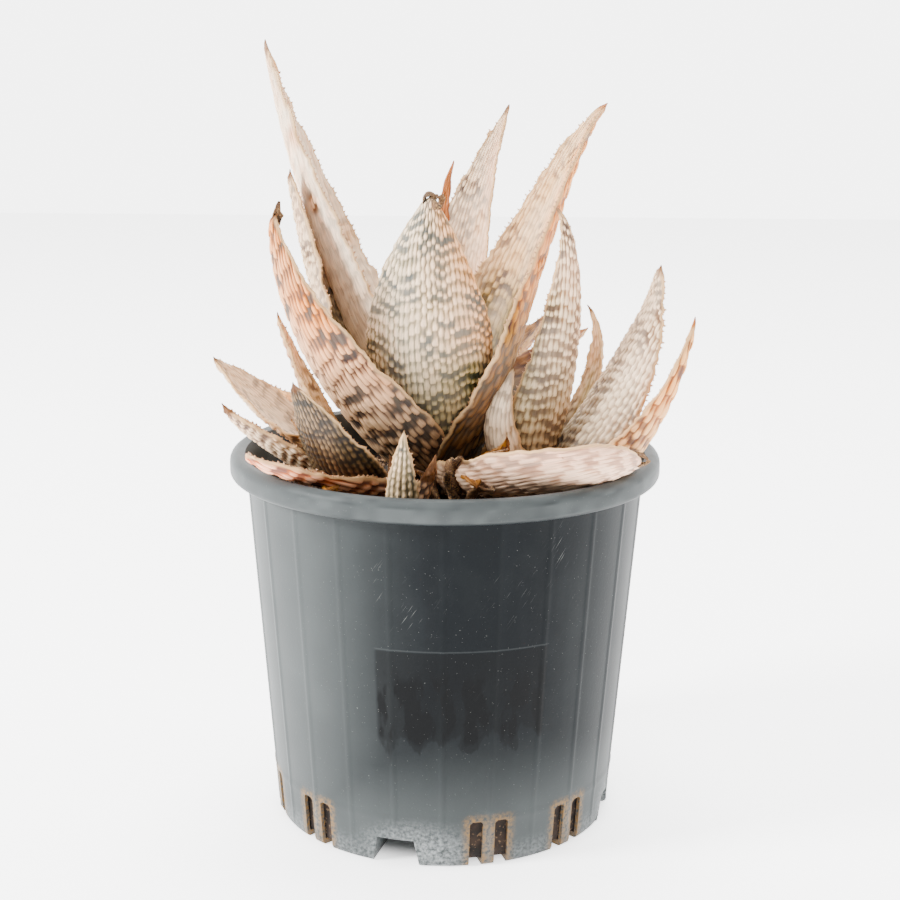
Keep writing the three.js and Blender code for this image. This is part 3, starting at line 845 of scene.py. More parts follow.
        marks["fleck"] = np.where(back > 0, fleck, 0.85 * fleck_in) * fade
        marks["sun"] = marks["sun"] * (1 - 0.45 * marks["fleck"])
        marks["olive"] = marks["olive"] * (1 - 0.4 * marks["fleck"])
        marks["band"] = np.where(back > 0, band, band_in) * fade
        marks["rim"] = 0.8 * ease((1.3 - to_edge) / 1.0) * (1 - marks["dry"]) * (1 - 0.7 * marks["foot"])
        uv = np.stack([lane.ravel() * MM, along.ravel() * MM], axis=1)
        flat = {key: np.broadcast_to(value, grid_s.shape).ravel() for key, value in marks.items()}
        blade = mesh_object(f"aloe_{self.name}", place.reshape(-1, 3), quads, closing)
        mark_mesh(blade.data, uv, flat)
        return blade

    def margins(self) -> tuple[Array, Array]:
        """Gives the two margins for the teeth.

        Returns:
            For each margin a row of points, and the outward directions there.
        """
        points, tangents = self.curve()
        s = np.linspace(0, 1, len(points))
        across, up = self.axes(tangents, s)
        keep = (s > 0.12) & (s < min(0.94, self.dry_from))
        lines, outs = [], []
        for side in (-1, 1):
            angle = self.cup_angle(s)
            radius = self.half_width(s) / angle + 0.4
            turn = side * angle
            ragged, lifted = self.margin_wave(s * self.length, np.full(len(s), float(side)))
            beyond = side * (ragged - 0.15)
            sideways = radius * np.sin(turn) + beyond * np.cos(turn)
            upward = radius - 0.4 - radius * np.cos(turn) + beyond * np.sin(turn) + lifted + 0.4
            line = points + across * sideways[:, None] + up * upward[:, None]
            out = across * (side * np.cos(angle))[:, None] + up * np.sin(angle)[:, None]
            lines.append(line[keep])
            outs.append((out + 0.5 * tangents)[keep])
        return np.array(lines), np.array(outs)


def leaf_table() -> list[Leaf]:
    """Lists every leaf of the five rosettes, with the sizes that its solid has.

    Returns:
        The leaves, inner ones before the ones that clasp them.
    """
    green, brown, tan = Slot.GREEN, Slot.BROWN, Slot.TAN
    pink, pale, dry = Slot.PINK, Slot.PALE, Slot.DRY
    low = (-50, -50)
    rear = {"fine": 1.5, "hollow_step": 1.4}
    return [
        Leaf("m_front", "main", 174, (-8, -41, 235), (-7, -27, 294), (271, 266), 62, 6.5, 0.44, 1.75,
             52, green, sun=(0.0, 0.25), side=-0.5, olive=(2.4, -0.9), shaded=0.45, frost=0.15,
             dry_from=0.965, teeth=0.0, hook=(3, -2, -1)),
        Leaf("m_left", "main", 162, (-56, -43, 226), (-73, -52, 289), (222, 205), 60, 6.5, 0.3, 1.6,
             58, brown, pattern=LONG_FLECKS, sun=(-0.5, 0.6), side=-0.4, olive=(0.5, -0.2), deep=0.45,
             shaded=0.6, teeth=0.35, hook=(2, -1, -2)),
        Leaf("m_right", "main", 156, (46, -9, 285), (72, 7, 332), (-16, 29), 57, 6, 0.42, 1,
             75, tan, root=-60, turn=0.35, pattern=LONG_FLECKS, hollow_step=0.55, sun=(0.0, 0.15),
             side=1.1, olive=(3.0, -1.0), deep=0.65, shaded=0.9, frost=0.3),
        Leaf("r_front", "right", 167, (53, -31, 251), (48, -28, 288), (320, 269), 38, 5.5, 0.18, 1,
             51, pale, root=-110, sun=(0.0, 0.2), side=-0.1, green_side=0.5, olive=(0.9, 0.0), frost=0.15),
        Leaf("m_lying", "main", 161, (45, -66, 174), (86, -50, 179), (-70, -70), 48, 8, 0.4, 3,
             50, pink, tilt=low, pattern=FAINT_FLECKS, sun=(0.0, 0.25), side=0.25, olive=(0.5, 0.0),
             frost=0.4, teeth=0.2, dry_from=0.98),
        Leaf("m_tall", "main", 170, (-53, 21, 255), (-85, 38, 359), (174, 180), 62, 6, 0.39, 1.3,
             69, pale, pattern=FAINT_FLECKS, hollow_step=0.55, sun=(-0.3, 0.6), side=-0.1,
             olive=(0.1, -0.1), deep=0.2, frost=1.0),
        Leaf("m_rear", "main", 170, (4, 28, 249), (29, 46, 330), (75, 68), 47, 5.5, 0.31, 1.05,
             37, pale, hollow_step=0.55, sun=(0.1, 0.25), side=0.2, olive=(0.1, 0.0),
             frost=0.5),
        Leaf("m_lean", "main", 166, (-46, 2, 214), (-72, 14, 301), (135, 197), 49, 5, 0.39, 2,
             50, pale, hollow_step=0.6, sun=(0.1, 0.25), olive=(1.6, 0.3), deep=0.3, frost=0.3),
        Leaf("m_heart", "main", 178, (-3, 2, 245), (-2, 6, 306), (80, 80), 16, 3.5, 0.3, 1.3,
             45, tan, dry_from=0.75, sun=(0.5, 1.3), olive=(0.0, 0.0), teeth=0.0, hook=(5, 0, 0)),
        Leaf("r_side", "right", 167, (85, -15, 228), (95, -26, 263), (-176, -181), 58, 5, 0.39, 1.35,
             69, pale, hollow_step=0.55, sun=(0.0, 0.1), olive=(0.6, -0.2), frost=0.35),
        Leaf("r_out", "right", 158, (85, -35, 184), (108, -44, 243), (-51, -26), 23, 4.5, 0.45, 1,
             54, tan, pattern=LONG_FLECKS, sun=(0.0, 0.6), olive=(0.4, -0.2), teeth=0.6),
        Leaf("l_front", "left", 157, (-55, -56, 188), (-65, -61, 216), (241, 217), 49, 5, 0.3, 1.9,
             60, brown, pattern=DOT_FLECKS, sun=(0.0, 0.0), olive=(1.0, 0.6), deep=2.0, shaded=1.0,
             dry_from=0.93, teeth=0.6),
        Leaf("l_side", "left", 170, (-81, -10, 193), (-104, -23, 220), (187, 150), 44, 4, 0.34, 1.35,
             22, pale, tilt=(-40, -50), hollow_step=0.55, sun=(0.0, 0.15), olive=(0.0, 0.0), deep=0.2,
             frost=0.35, teeth=0.7),
        Leaf("l_low", "left", 163, (-80, -34, 184), (-98, -43, 203), (211, 204), 31, 4, 0.3, 1.65,
             47, pale, tilt=low, hollow_step=0.6, sun=(0.0, 0.2), olive=(0.2, 0.0), dry_from=0.9),
        Leaf("m_low", "main", 156, (-59, -63, 175), (-87, -49, 182), (232, 214), 24, 6, 0.3, 1.8,
             50, pink, tilt=low, pattern=LONG_FLECKS, sun=(0.0, 0.7), olive=(0.8, 0.0)),
        Leaf("l_thin", "left", 164, (-68, 2, 210), (-78, 6, 236), (165, 165), 20, 3, 0.3, 1.5,
             50, pale),
        Leaf("r_small", "right", 160, (24, -31, 188), (31, -26, 217), (235, 250), 20, 3, 0.3, 1.6,
             45, pale, root=200, pattern=FAINT_FLECKS, sun=(0.0, 0.0), olive=(0.3, 0.1), frost=0.4,
             teeth=0.0),
        Leaf("f_tip", "front", 158, (-18, -75, 174), (-17, -77, 199), (266, 261), 15, 3, 0.25, 1.3,
             33, green, pattern=DOT_FLECKS, sun=(0.2, 0.2), olive=(0.5, 0.2), dry_from=0.97, teeth=1.2),
        Leaf("f_right", "front", 157, (-8, -69, 173), (-4, -71, 187), (-15, -40), 15, 2.5, 0.3, 1.4,
             45, brown, dry_from=0.6),
        Leaf("f_back", "front", 157, (-20, -58, 171), (-24, -54, 183), (110, 120), 14, 2.5, 0.3, 1.4,
             45, brown, dry_from=0.6),
        Leaf("r_rear", "right", 164, (70, 18, 207), (67, 30, 237), (50, 40), 15, 3, 0.3, 1.4,
             45, pale, olive=(0.5, 0.3), dry_from=0.93, teeth=0.5),
        Leaf("r_back", "right", 160, (76, 22, 188), (97, 42, 212), (40, 40), 34, 4, 0.3, 1.6,
             50, tan, tilt=(-25, -25), **rear),
        Leaf("r_low", "right", 156, (80, 2, 178), (103, 10, 190), (10, 10), 28, 4, 0.3, 1.6,
             48, brown, tilt=(-45, -45), **rear),
        Leaf("m_back", "main", 164, (-14, 40, 225), (-24, 72, 262), (102, 108), 48, 5.5, 0.3, 1.6,
             48, green, tilt=(-20, -30), **rear),
        Leaf("m_back_right", "main", 160, (37, 32, 198), (70, 56, 222), (42, 45), 42, 5, 0.3, 1.6,
             50, tan, tilt=(-25, -30), sun=(-1.5, 1.2), olive=(3.0, -0.5), deep=1.8, dry_from=0.97,
             **rear),
        Leaf("m_back_left", "main", 160, (-42, 34, 200), (-72, 58, 231), (135, 140), 42, 5, 0.3, 1.6,
             50, tan, tilt=(-20, -25), **rear),
        Leaf("l_back", "left", 160, (-68, 10, 184), (-90, 28, 199), (135, 140), 30, 4, 0.3, 1.6,
             50, tan, tilt=(-30, -35), **rear),
        Leaf("b_up", "back", 166, (-12, 66, 214), (-15, 68, 258), (100, 100), 34, 5, 0.3, 1.5,
             46, green, **rear),
        Leaf("b_rear", "back", 162, (-10, 86, 200), (-16, 100, 240), (92, 95), 42, 5, 0.3, 1.6,
             50, brown, pattern=LONG_FLECKS, **rear),
        Leaf("b_left", "back", 161, (-42, 74, 196), (-70, 82, 226), (150, 160), 38, 5, 0.3, 1.6,
             50, pale, tilt=(-20, -20), **rear),
        Leaf("b_right", "back", 161, (28, 74, 198), (54, 88, 226), (28, 25), 38, 5, 0.3, 1.6,
             50, tan, tilt=(-20, -20), deep=1.8, **rear),
        Leaf("b_low_left", "back", 157, (-40, 86, 182), (-62, 102, 190), (128, 130), 28, 4.5, 0.3, 1.7,
             50, pink, tilt=(-45, -50), pattern=FAINT_FLECKS, **rear),
        Leaf("b_low_right", "back", 157, (20, 92, 182), (38, 110, 190), (55, 50), 28, 4.5, 0.3, 1.7,
             50, pink, tilt=(-45, -50), pattern=FAINT_FLECKS, **rear),
        Leaf("dry_front", "main", 158, (10, -42, 172), (14, -66, 171), (-70, -70), 22, 2.5, 0.3, 1.6,
             55, dry, tilt=(-60, -60), teeth=0.0),
        Leaf("dry_right", "main", 159, (22, -34, 177), (27, -48, 190), (-55, -60), 17, 2.5, 0.3, 1.5,
             50, dry, tilt=(-30, -20), teeth=0.0),
        Leaf("dry_left", "left", 157, (-48, -50, 167), (-50, -74, 172), (262, 262), 18, 2.5, 0.3, 1.6,
             55, dry, tilt=(-60, -60), teeth=0.0),
    ]


@dataclass(frozen=True)
class ToothHorn:
    """Dry horn of the margin teeth: pale straw with a browner point, hard and faintly glossy."""

    colour: str = "#cfa57c"
    dark: str = "#8f5f3e"

    def material(self) -> bpy.types.Material:
        """Builds the horn's node material."""
        horn, tree = new_material("tooth_horn")
        # The colour changes over 3 mm, about from tooth to tooth
        mottle = add_noise(tree, object_place(tree), 3.0, 1.0)
        colour = paint_layers(tree, linear(self.colour), [(mottle, self.dark)])
        finish_material(tree, {"Base Color": colour, "Roughness": 0.5, "IOR": 1.5})
        return horn


@dataclass
class Rosettes:
    """All the leaves with the teeth along their margins, rosette by rosette."""

    tooth_spacing: float = 2.5
    tooth_radius: float = 0.6
    tooth_height: float = 1.15
    tooth_sides: int = 5
    tooth_sizes: tuple[float, float] = (0.25, 1.1)
    leaves: list[Leaf] = field(default_factory=leaf_table)

    def teeth_tree(self) -> bpy.types.NodeTree:
        """Builds the tree that sets small horn cones along every margin.

        Returns:
            The geometry node tree.
        """
        tree, start = new_group(
            "margin_teeth",
            [
                ("Spacing", "NodeSocketFloat"),
                ("Radius", "NodeSocketFloat"),
                ("Height", "NodeSocketFloat"),
                ("Seed", "NodeSocketInt"),
                ("Material", "NodeSocketMaterial"),
            ],
        )
        line = add_node(tree, "GeometryNodeMeshToCurve", None, {0: start.outputs["Geometry"]})
        spaced = add_node(
            tree, "GeometryNodeResampleCurve", {"mode": "LENGTH"},
            {"Curve": line.outputs[0], "Length": start.outputs["Spacing"]},
        )
        cone = add_node(
            tree, "GeometryNodeMeshCone", {"fill_type": "NGON"},
            {
                "Vertices": self.tooth_sides,
                "Radius Top": 0.0,
                "Radius Bottom": start.outputs["Radius"],
                "Depth": start.outputs["Height"],
            },
        )
        outward = add_node(
            tree, "GeometryNodeInputNamedAttribute", {"data_type": "FLOAT_VECTOR"}, {"Name": "outward"}
        )
        share = add_node(tree, "GeometryNodeInputNamedAttribute", {"data_type": "FLOAT"}, {"Name": "share"})
        turn = add_node(
            tree, "FunctionNodeAlignRotationToVector", {"axis": "Z"}, {"Vector": outward.outputs[0]}
        )
        random = add_node(
            tree, "FunctionNodeRandomValue", {"data_type": "FLOAT"},
            {2: self.tooth_sizes[0], 3: self.tooth_sizes[1], "Seed": start.outputs["Seed"]},
        )
        size = add_node(
            tree, "ShaderNodeMath", {"operation": "MULTIPLY"}, {0: random.outputs[1], 1: share.outputs[0]}
        )
        teeth = add_node(
            tree, "GeometryNodeInstanceOnPoints", None,
            {
                "Points": spaced.outputs[0],
                "Instance": cone.outputs["Mesh"],
                "Rotation": turn.outputs[0],
                "Scale": size.outputs[0],
            },
        )
        finish_group(tree, teeth.outputs[0], start.outputs["Material"])
        return tree

    def teeth(self, crown: str, tree: bpy.types.NodeTree, horn: bpy.types.Material) -> bpy.types.Object:
        """Builds the teeth of one rosette.

        Args:
            crown: the rosette's name.
            tree: the tree that sets the teeth.
            horn: their material.

        Returns:
            One plain mesh.
        """
        points, outs, shares, edges = [], [], [], []
        for leaf in self.leaves:
            if leaf.crown != crown or leaf.teeth == 0:
                continue
            for line, out in zip(*leaf.margins()):
                first = len(points)
                points.extend((line * MM).tolist())
                outs.extend(out.tolist())
                shares.extend([leaf.teeth] * len(line))
                edges.extend((i, i + 1) for i in range(first, len(points) - 1))
        mesh = bpy.data.meshes.new("margins")
        mesh.from_pydata(points, edges, [])
        outward = mesh.attributes.new("outward", "FLOAT_VECTOR", "POINT")
        outward.data.foreach_set("vector", np.array(outs, np.float32).ravel())
        share = mesh.attributes.new("share", "FLOAT", "POINT")
        share.data.foreach_set("value", np.array(shares, np.float32))
        host = bpy.data.objects.new("margins", mesh)
        bpy.context.scene.collection.objects.link(host)
        values = {
            "Spacing": self.tooth_spacing * MM,
            "Radius": self.tooth_radius * MM,
            "Height": self.tooth_height * MM,
            "Seed": 11,
            "Material": horn,
        }
        return bake_nodes(f"teeth_{crown}", host, tree, values)

    def build(self) -> None:
        """Builds and dresses every leaf and every rosette's teeth."""
        skins = {slot: skin.material() for slot, skin in SKINS.items()}
        for leaf in self.leaves:
            blade = leaf.build()
            blade.data.materials.append(skins[leaf.slot])
            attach(blade, "root")
            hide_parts(f"leaf_{leaf.name}")
            LOG.info("leaf %s: %d faces", leaf.name, len(blade.data.polygons))
        tree = self.teeth_tree()
        horn = ToothHorn().material()
        for crown in CROWNS:
            teeth = self.teeth(crown, tree, horn)
            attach(teeth, "root")
            LOG.info("teeth of rosette %s: %d faces", crown, len(teeth.data.polygons))


@dataclass(frozen=True)
class PotPlastic:
    """Recycled polypropylene, injection moulded: slate grey, dull, scuffed, dusty and limed.

    Years of watering leave white lime near the foot and brown crusts round the slots. A label's
    glue has left a darker patch on the front.
    """

    body: str = "#080c0f"
    light: str = "#13171a"
    # Also the colour of the worn rim and of the painted light on the sides
    dust: str = "#474b4b"
    glue: str = "#040506"
    lime: str = "#8b8f8f"
    crust: str = "#7d5f38"
    speck: str = "#8f918c"
    # The glue's left and right end, round the wall from the front, and its foot and top
    glue_span: tuple[float, float] = (-31.8, 50.5)
    glue_rise: tuple[float, float] = (56.0, 103.7)

    def glue_patch(self, tree: bpy.types.NodeTree, uv: Socket, smear: Socket) -> dict[str, Socket]:
        """Masks the film of old glue, from the distance round the wall and the height.

        Args:
            tree: the material's node tree.
            uv: the wall's coordinates in metres.
            smear: a streaky field from 0 to 1.

        Returns:
            The masks of the thin film, of the thick blots in it and of its raised top edge.
        """
        place = add_node(tree, "ShaderNodeSeparateXYZ", None, {0: uv})
        along, height = place.outputs["X"], place.outputs["Y"]
        # The film's lower end frays over 55 mm, and blots over 30 mm
        frayed, dripped = [
            add_node(
                tree, "ShaderNodeMath", {"operation": "MULTIPLY_ADD"}, {0: smear, 1: reach * MM, 2: height}
            ).outputs[0]
            for reach in (55, 30)
        ]
        left, right = self.glue_span
        low, high = self.glue_rise
        steps = {
            "left": (along, left, left + 2.0),
            "right": (along, right, right - 3.0),
            "top": (height, high, high - 0.8),
            "foot": (frayed, low + 29, low + 33),
            "below": (dripped, high + 9, high + 1),
            "over": (dripped, low + 20, low + 24),
        }
        parts = {
            key: remap(tree, value, (start * MM, end * MM), smooth=True)
            for key, (value, start, end) in steps.items()
        }
        thick = remap(tree, smear, (0.46, 0.54), smooth=True)
        line = add_node(
            tree, "ShaderNodeMath", {"operation": "COMPARE"}, {0: height, 1: (high + 0.3) * MM, 2: 0.35 * MM}
        ).outputs[0]
        sides = (parts["left"], parts["right"])
        return {
            "film": multiply(tree, *sides, parts["top"], parts["foot"], 0.55),
            "blot": multiply(tree, *sides, parts["below"], thick, parts["over"], 0.85),
            "edge": multiply(tree, *sides, line, 0.2),
        }

    def material(self) -> bpy.types.Material:
        """Builds the plastic's node material.

        Returns:
            The material.
        """
        plastic, tree = new_material("slate_polypropylene")
        marks = read_marks(tree, ("lime", "crust", "scratch", "wear_and_painted_light"))
        uv = add_node(tree, "ShaderNodeUVMap").outputs[0]
        place = object_place(tree)
        fields = {
            # Flow marks of the moulding run upright, 7 mm wide and 160 mm long
            "flow": (add_noise(tree, place, (7.0, 7.0, 160.0), 2.0), 0.45, 0.75, 0.35),
            # Scuffs lean to the right, 0.4 mm wide and 12 mm long
            "scuff": (add_noise(tree, uv, (0.4, 12.0), 2.0, lean=-35), 0.66, 0.8, 0.7),
            # Dust lies in clouds of 26 mm, its specks are 0.5 mm, and grime clots are 1.4 mm
            "dust": (add_noise(tree, place, 26.0, 6.0), 0.46, 0.95, 0.1),
            "speck": (add_noise(tree, place, 0.5, 0.0), 0.83, 0.86, 0.3),
            "grime": (add_noise(tree, place, 1.4, 6.0), 0.34, 0.66, 1.0),
            # Smears of the glue run upright, 10 mm wide and 26 mm long
            "smear": (add_noise(tree, uv, (10.0, 26.0), 3.0), 0.0, 1.0, 1.0),
        }
        masks = {
            key: remap(tree, value, (low, high), (0.0, top))
            for key, (value, low, high, top) in fields.items()
        }
        patch = self.glue_patch(tree, uv, masks["smear"])
        colour = paint_layers(
            tree,
            linear(self.body),
            [
                (masks["flow"], self.light),
                (masks["dust"], self.dust),
                # Worn rim, with painted light on the sides and lighter towards the bottom
                (marks["wear_and_painted_light"], self.dust),
                (patch["film"], self.glue),
                (patch["blot"], self.glue),
                (patch["edge"], self.dust),
                (multiply(tree, masks["scuff"], masks["dust"]), self.speck),
                (multiply(tree, marks["scratch"], masks["scuff"]), self.speck),
                (multiply(tree, marks["lime"], masks["grime"]), self.lime),
                (multiply(tree, marks["crust"], masks["grime"]), self.crust),
                (masks["speck"], self.speck),
            ],
        )
        finish_material(
            tree,
            {
                "Base Color": colour,
                "Roughness": remap(tree, masks["dust"], (0.0, 0.35), (0.42, 0.6)),
                "Normal": add_bump(tree, masks["grime"], 0.15, 0.12),
                "IOR": 1.49,
                "Specular IOR Level": 0.07,
            },
        )
        return plastic


def prism(outline: list[tuple[float, float]], start: float, end: float, heading: float) -> bpy.types.Object:
    """Makes a straight prism that runs outwards from the axis.

    Args:
        outline: its section as pairs of sideways place and height.
        start: distance of its inner end from the axis.
        end: distance of its outer end from the axis.
        heading: its angle from the front.

    Returns:
        The prism's object.
    """
    count = len(outline)
    turn = Matrix.Rotation(math.radians(heading), 3, "Z")
    points = [turn @ Vector((x, -y, z)) for y in (start, end) for x, z in outline]
    faces = [tuple(range(count))[::-1], tuple(range(count, 2 * count))]
    for i in range(count):
        j = (i + 1) % count
        faces.append((i, j, count + j, count + i))
    return mesh_object("cutter", np.array(points), np.zeros((0, 4), int), faces)


def combine(body: bpy.types.Object, tools: list[bpy.types.Object], operation: str) -> None:
    """Joins tools that don't touch to the body, or cuts them from it, and removes them.

    Args:
        body: the object that changes.
        tools: the objects that are joined or cut away.
        operation: UNION or DIFFERENCE.
    """
    with bpy.context.temp_override(
        active_object=tools[0], object=tools[0], selected_objects=tools, selected_editable_objects=tools
    ):
        bpy.ops.object.join()
    modifier = body.modifiers.new("cut", "BOOLEAN")
    modifier.operation = operation
    modifier.solver = "EXACT"
    modifier.object = tools[0]
    with bpy.context.temp_override(object=body, active_object=body):
        bpy.ops.object.modifier_apply(modifier=modifier.name)
    bpy.data.objects.remove(tools[0])


@dataclass
class NurseryPot:
    """The round pot with its rolled rim, ribs, drainage slots and foot arches."""

    height: float = 174.0
    rim_radius: float = 100.0
    rim_depth: float = 11.0
    neck_radius: float = 92.3
    foot_radius: float = 79.6
    wall: float = 1.8
    base: float = 2.6
    sides: int = 480
    rib_spacing: float = 15.0
    rib_relief: float = 0.42
    slot_width: float = 6.0
    slot_bar: float = 5.5
    slot_top: float = 22.0
    slot_angles: tuple[float, ...] = (-75, -45, 15, 45, 105, 135, -165, -135)
    channel_angles: tuple[float, ...] = (-15, 75, 165, -105)
    channel_height: float = 12.5
    channel_top: float = 17.0
    channel_foot: float = 22.0
    channel_start: float = 34.0
    channel_wall: float = 2.2
    # Radii at which distances round the wall and round its foot are measured
    unrolled: float = 90.0
    unrolled_foot: float = 81.0
    # Scratched places: heading and height of each, with its half width and half height
    scratches: tuple[tuple[float, float, float, float], ...] = (
        (-18.0, 136.0, 2.5, 6.0),
        (-8.0, 122.0, 9.0, 9.0),
        (19.0, 128.0, 10.0, 8.0),
        (33.0, 146.0, 5.0, 12.0),
    )

    def wall_radius(self, z: float) -> float:
        """Outer radius of the tapered wall at height z."""
        return self.foot_radius + (self.neck_radius - self.foot_radius) * z / (self.height - self.rim_depth)

    def profile(self) -> list[tuple[float, float]]:
        """Lists the wall's section from the middle of the underside round to the middle inside.

        Returns:
            Pairs of radius and height.
        """
        under = self.height - self.rim_depth
        lower = [(self.wall_radius(z), z) for z in np.arange(2, 32, 1.5)]
        upper = [(self.wall_radius(z), z) for z in np.arange(34, under - 1, 7.0)]
        lip = self.rim_radius - 2.4
        bead = [
            (lip + 2.4 * math.cos(math.radians(t)), under + 2.6 + 2.6 * math.sin(math.radians(t)))
            for t in range(-80, 1, 20)
        ]
        crest = [
            (self.rim_radius - 4.0 + 4.0 * math.cos(math.radians(t)), self.height - 4.4
             + 4.4 * math.sin(math.radians(t)))
            for t in range(0, 100, 15)
        ]
        inside = [
            (self.rim_radius - 7.0, self.height - 1.0),
            (self.wall_radius(under + 4) - self.wall + 0.5, under + 6.0),
        ]
        down = [(self.wall_radius(z) - self.wall, z) for z in np.linspace(under + 2, self.base, 12)]
        foot = [(0.0, 0.0), (self.foot_radius * 0.5, 0.0), (self.foot_radius - 1.6, 0.0)]
        return foot + [(self.foot_radius - 0.5, 0.5)] + lower + upper + [
            (self.wall_radius(under) + 0.2, under - 0.4)
        ] + bead + crest + inside + down + [(self.foot_radius * 0.5, self.base), (0.0, self.base)]

    def shell(self) -> bpy.types.Object:
        """Turns the section about the axis and raises the ribs and the step line."""
        section = np.array(self.profile())
        rows = len(section) - 2
        angle = np.radians(np.arange(self.sides) * 360 / self.sides)
        radius = np.repeat(section[1:-1, :1], self.sides, axis=1)
        height = np.repeat(section[1:-1, 1:], self.sides, axis=1)
        heading = np.degrees(angle)[None, :]
        off = np.abs(heading - np.round(heading / self.rib_spacing) * self.rib_spacing)
        outer = np.zeros((rows, 1))
        under = self.height - self.rim_depth
        for i, (r, z) in enumerate(section[1:-1]):
            outer[i] = 1.0 if r > self.wall_radius(z) - 0.4 and 1 < z < under - 2 else 0.0
        radius = radius + outer * self.rib_relief * np.clip(1 - off / 0.9, 0, 1)
        step = np.exp(-(((height - self.slot_top - 0.6) / 1.2) ** 2))
        radius = radius + outer * 0.3 * step
        ring = np.stack([radius * np.sin(angle), -radius * np.cos(angle), height], axis=2)
        points = np.concatenate([ring.reshape(-1, 3), [[0, 0, 0], [0, 0, self.base]]])
        quads = ring_quads(rows - 1, self.sides)
        low, high, last = rows * self.sides, rows * self.sides + 1, (rows - 1) * self.sides
        caps = []
        for i in range(self.sides):
            j = (i + 1) % self.sides
            caps.append((low, j, i))
            caps.append((high, last + i, last + j))
        return mesh_object("pot_shell", points, quads, caps)

    def channel_outline(self, grow: float, floor: float) -> list[tuple[float, float]]:
        """The arch's section, grown on all sides."""
        foot, top = self.channel_foot / 2 + grow, self.channel_top / 2 + grow
        height = self.channel_height + grow
        return [(-foot, floor), (foot, floor), (top, height), (-top, height)]

    def stains(self, pot: bpy.types.Object) -> None:
        """Marks the lime, crusts, scratches, worn rim and painted light of the sides on the finished pot's
        vertices.
        """
        mesh = pot.data
        count = len(mesh.vertices)
        place = np.zeros(count * 3, np.float32)
        mesh.vertices.foreach_get("co", place)
        x, y, z = (place.reshape(-1, 3) / MM).T
        heading = np.degrees(np.arctan2(x, -y))
        radius = np.hypot(x, y)
        arc = np.radians(heading) * self.unrolled
        outer = radius > self.foot_radius - 1.2

        scratch = np.zeros(count)
        for turn, level, wide, tall in self.scratches:
            aside = arc - math.radians(turn) * self.unrolled
            scratch = np.maximum(scratch, np.exp(-((aside / wide) ** 2) - ((z - level) / tall) ** 2))

        under = self.height - self.rim_depth
        cloud = 0.8 + 0.1 * (drift(x / 9, z / 12, 8) + drift(y / 9, z / 12, 18))
        # Painted light: the left side of the wall is much lighter, the right side and the back a little, and
        # the wall lighter towards the bottom
        painted_light = np.maximum(0.95 * ease((-heading + 2) / 54) ** 1.3, 0.2 * ease((heading - 26) / 40))
        painted_light = painted_light + (0.4 - painted_light) * ease((np.abs(heading) - 110) / 60)
        painted_light = np.maximum(painted_light, 0.9 * ease((75 - z) / 62) ** 1.4)
        scuffed = 0.4 + 0.5 * (drift(x / 5, z / 1.5, 9) + drift(y / 5, z / 1.5, 19))
        wear_and_painted_light = cloud * np.maximum(scuffed * ease((z - under) / 2), painted_light)

        lime = np.zeros(count)
        crust = np.zeros(count)
        for angle in self.slot_angles:
            gap = (np.mod(heading - angle + 180, 360) - 180) * math.radians(1) * self.unrolled_foot
            for middle in (-1, 1):
                centre = middle * (self.slot_width + self.slot_bar) / 2
                aside = np.maximum(np.abs(gap - centre) - self.slot_width / 2, 0)
                above = np.maximum(z - self.slot_top, 0)
                crust = np.maximum(crust, ease(1 - np.hypot(aside, above) / 4.5))
            lime = np.maximum(lime, 0.45 * ease(1 - np.hypot(gap / 16, (z - 8) / 22)))
        for angle in self.channel_angles:
            gap = (np.mod(heading - angle + 180, 360) - 180) * math.radians(1) * self.unrolled_foot
            lime = np.maximum(lime, 0.95 * ease(1.25 - np.hypot((gap - 10) / 30, (z - 3) / 18)))
        lime = np.maximum(lime, 0.4 * ease((14 - z) / 12))
        uv = np.stack([arc * MM, z * MM], axis=1)
        mark_mesh(mesh, uv, {"lime": lime, "crust": crust, "scratch": scratch * outer, "wear_and_painted_light": wear_and_painted_light})

    def build(self) -> None:
        """Builds and dresses the pot."""
        pot = self.shell()
        inner = self.wall_radius(self.base) - self.wall / 2
        roof = self.channel_outline(self.channel_wall, 1.0)
        roofs = [prism(roof, self.channel_start - self.channel_wall, inner, a) for a in self.channel_angles]
        combine(pot, roofs, "UNION")
        arch = self.channel_outline(0.0, -1.0)
        cuts = [prism(arch, self.channel_start, self.rim_radius, a) for a in self.channel_angles]
        half = self.slot_width / 2
        for angle in self.slot_angles:
            for side in (-1, 1):
                m = side * (self.slot_width + self.slot_bar) / 2
                outline = [
                    (m - half, -1.0), (m + half, -1.0), (m + half, self.slot_top - 1.2),
                    (m + half - 1.2, self.slot_top), (m - half + 1.2, self.slot_top),
                    (m - half, self.slot_top - 1.2),
                ]
                cuts.append(prism(outline, self.foot_radius - 9, self.rim_radius, angle))
        combine(pot, cuts, "DIFFERENCE")
        pot.name = "nursery_pot"
        self.stains(pot)
        pot.data.set_sharp_from_angle(angle=math.radians(38))
        pot.data.materials.clear()
        pot.data.materials.append(PotPlastic().material())
        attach(pot, "root")
        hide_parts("pot")
        LOG.info("pot: %d faces", len(pot.data.polygons))


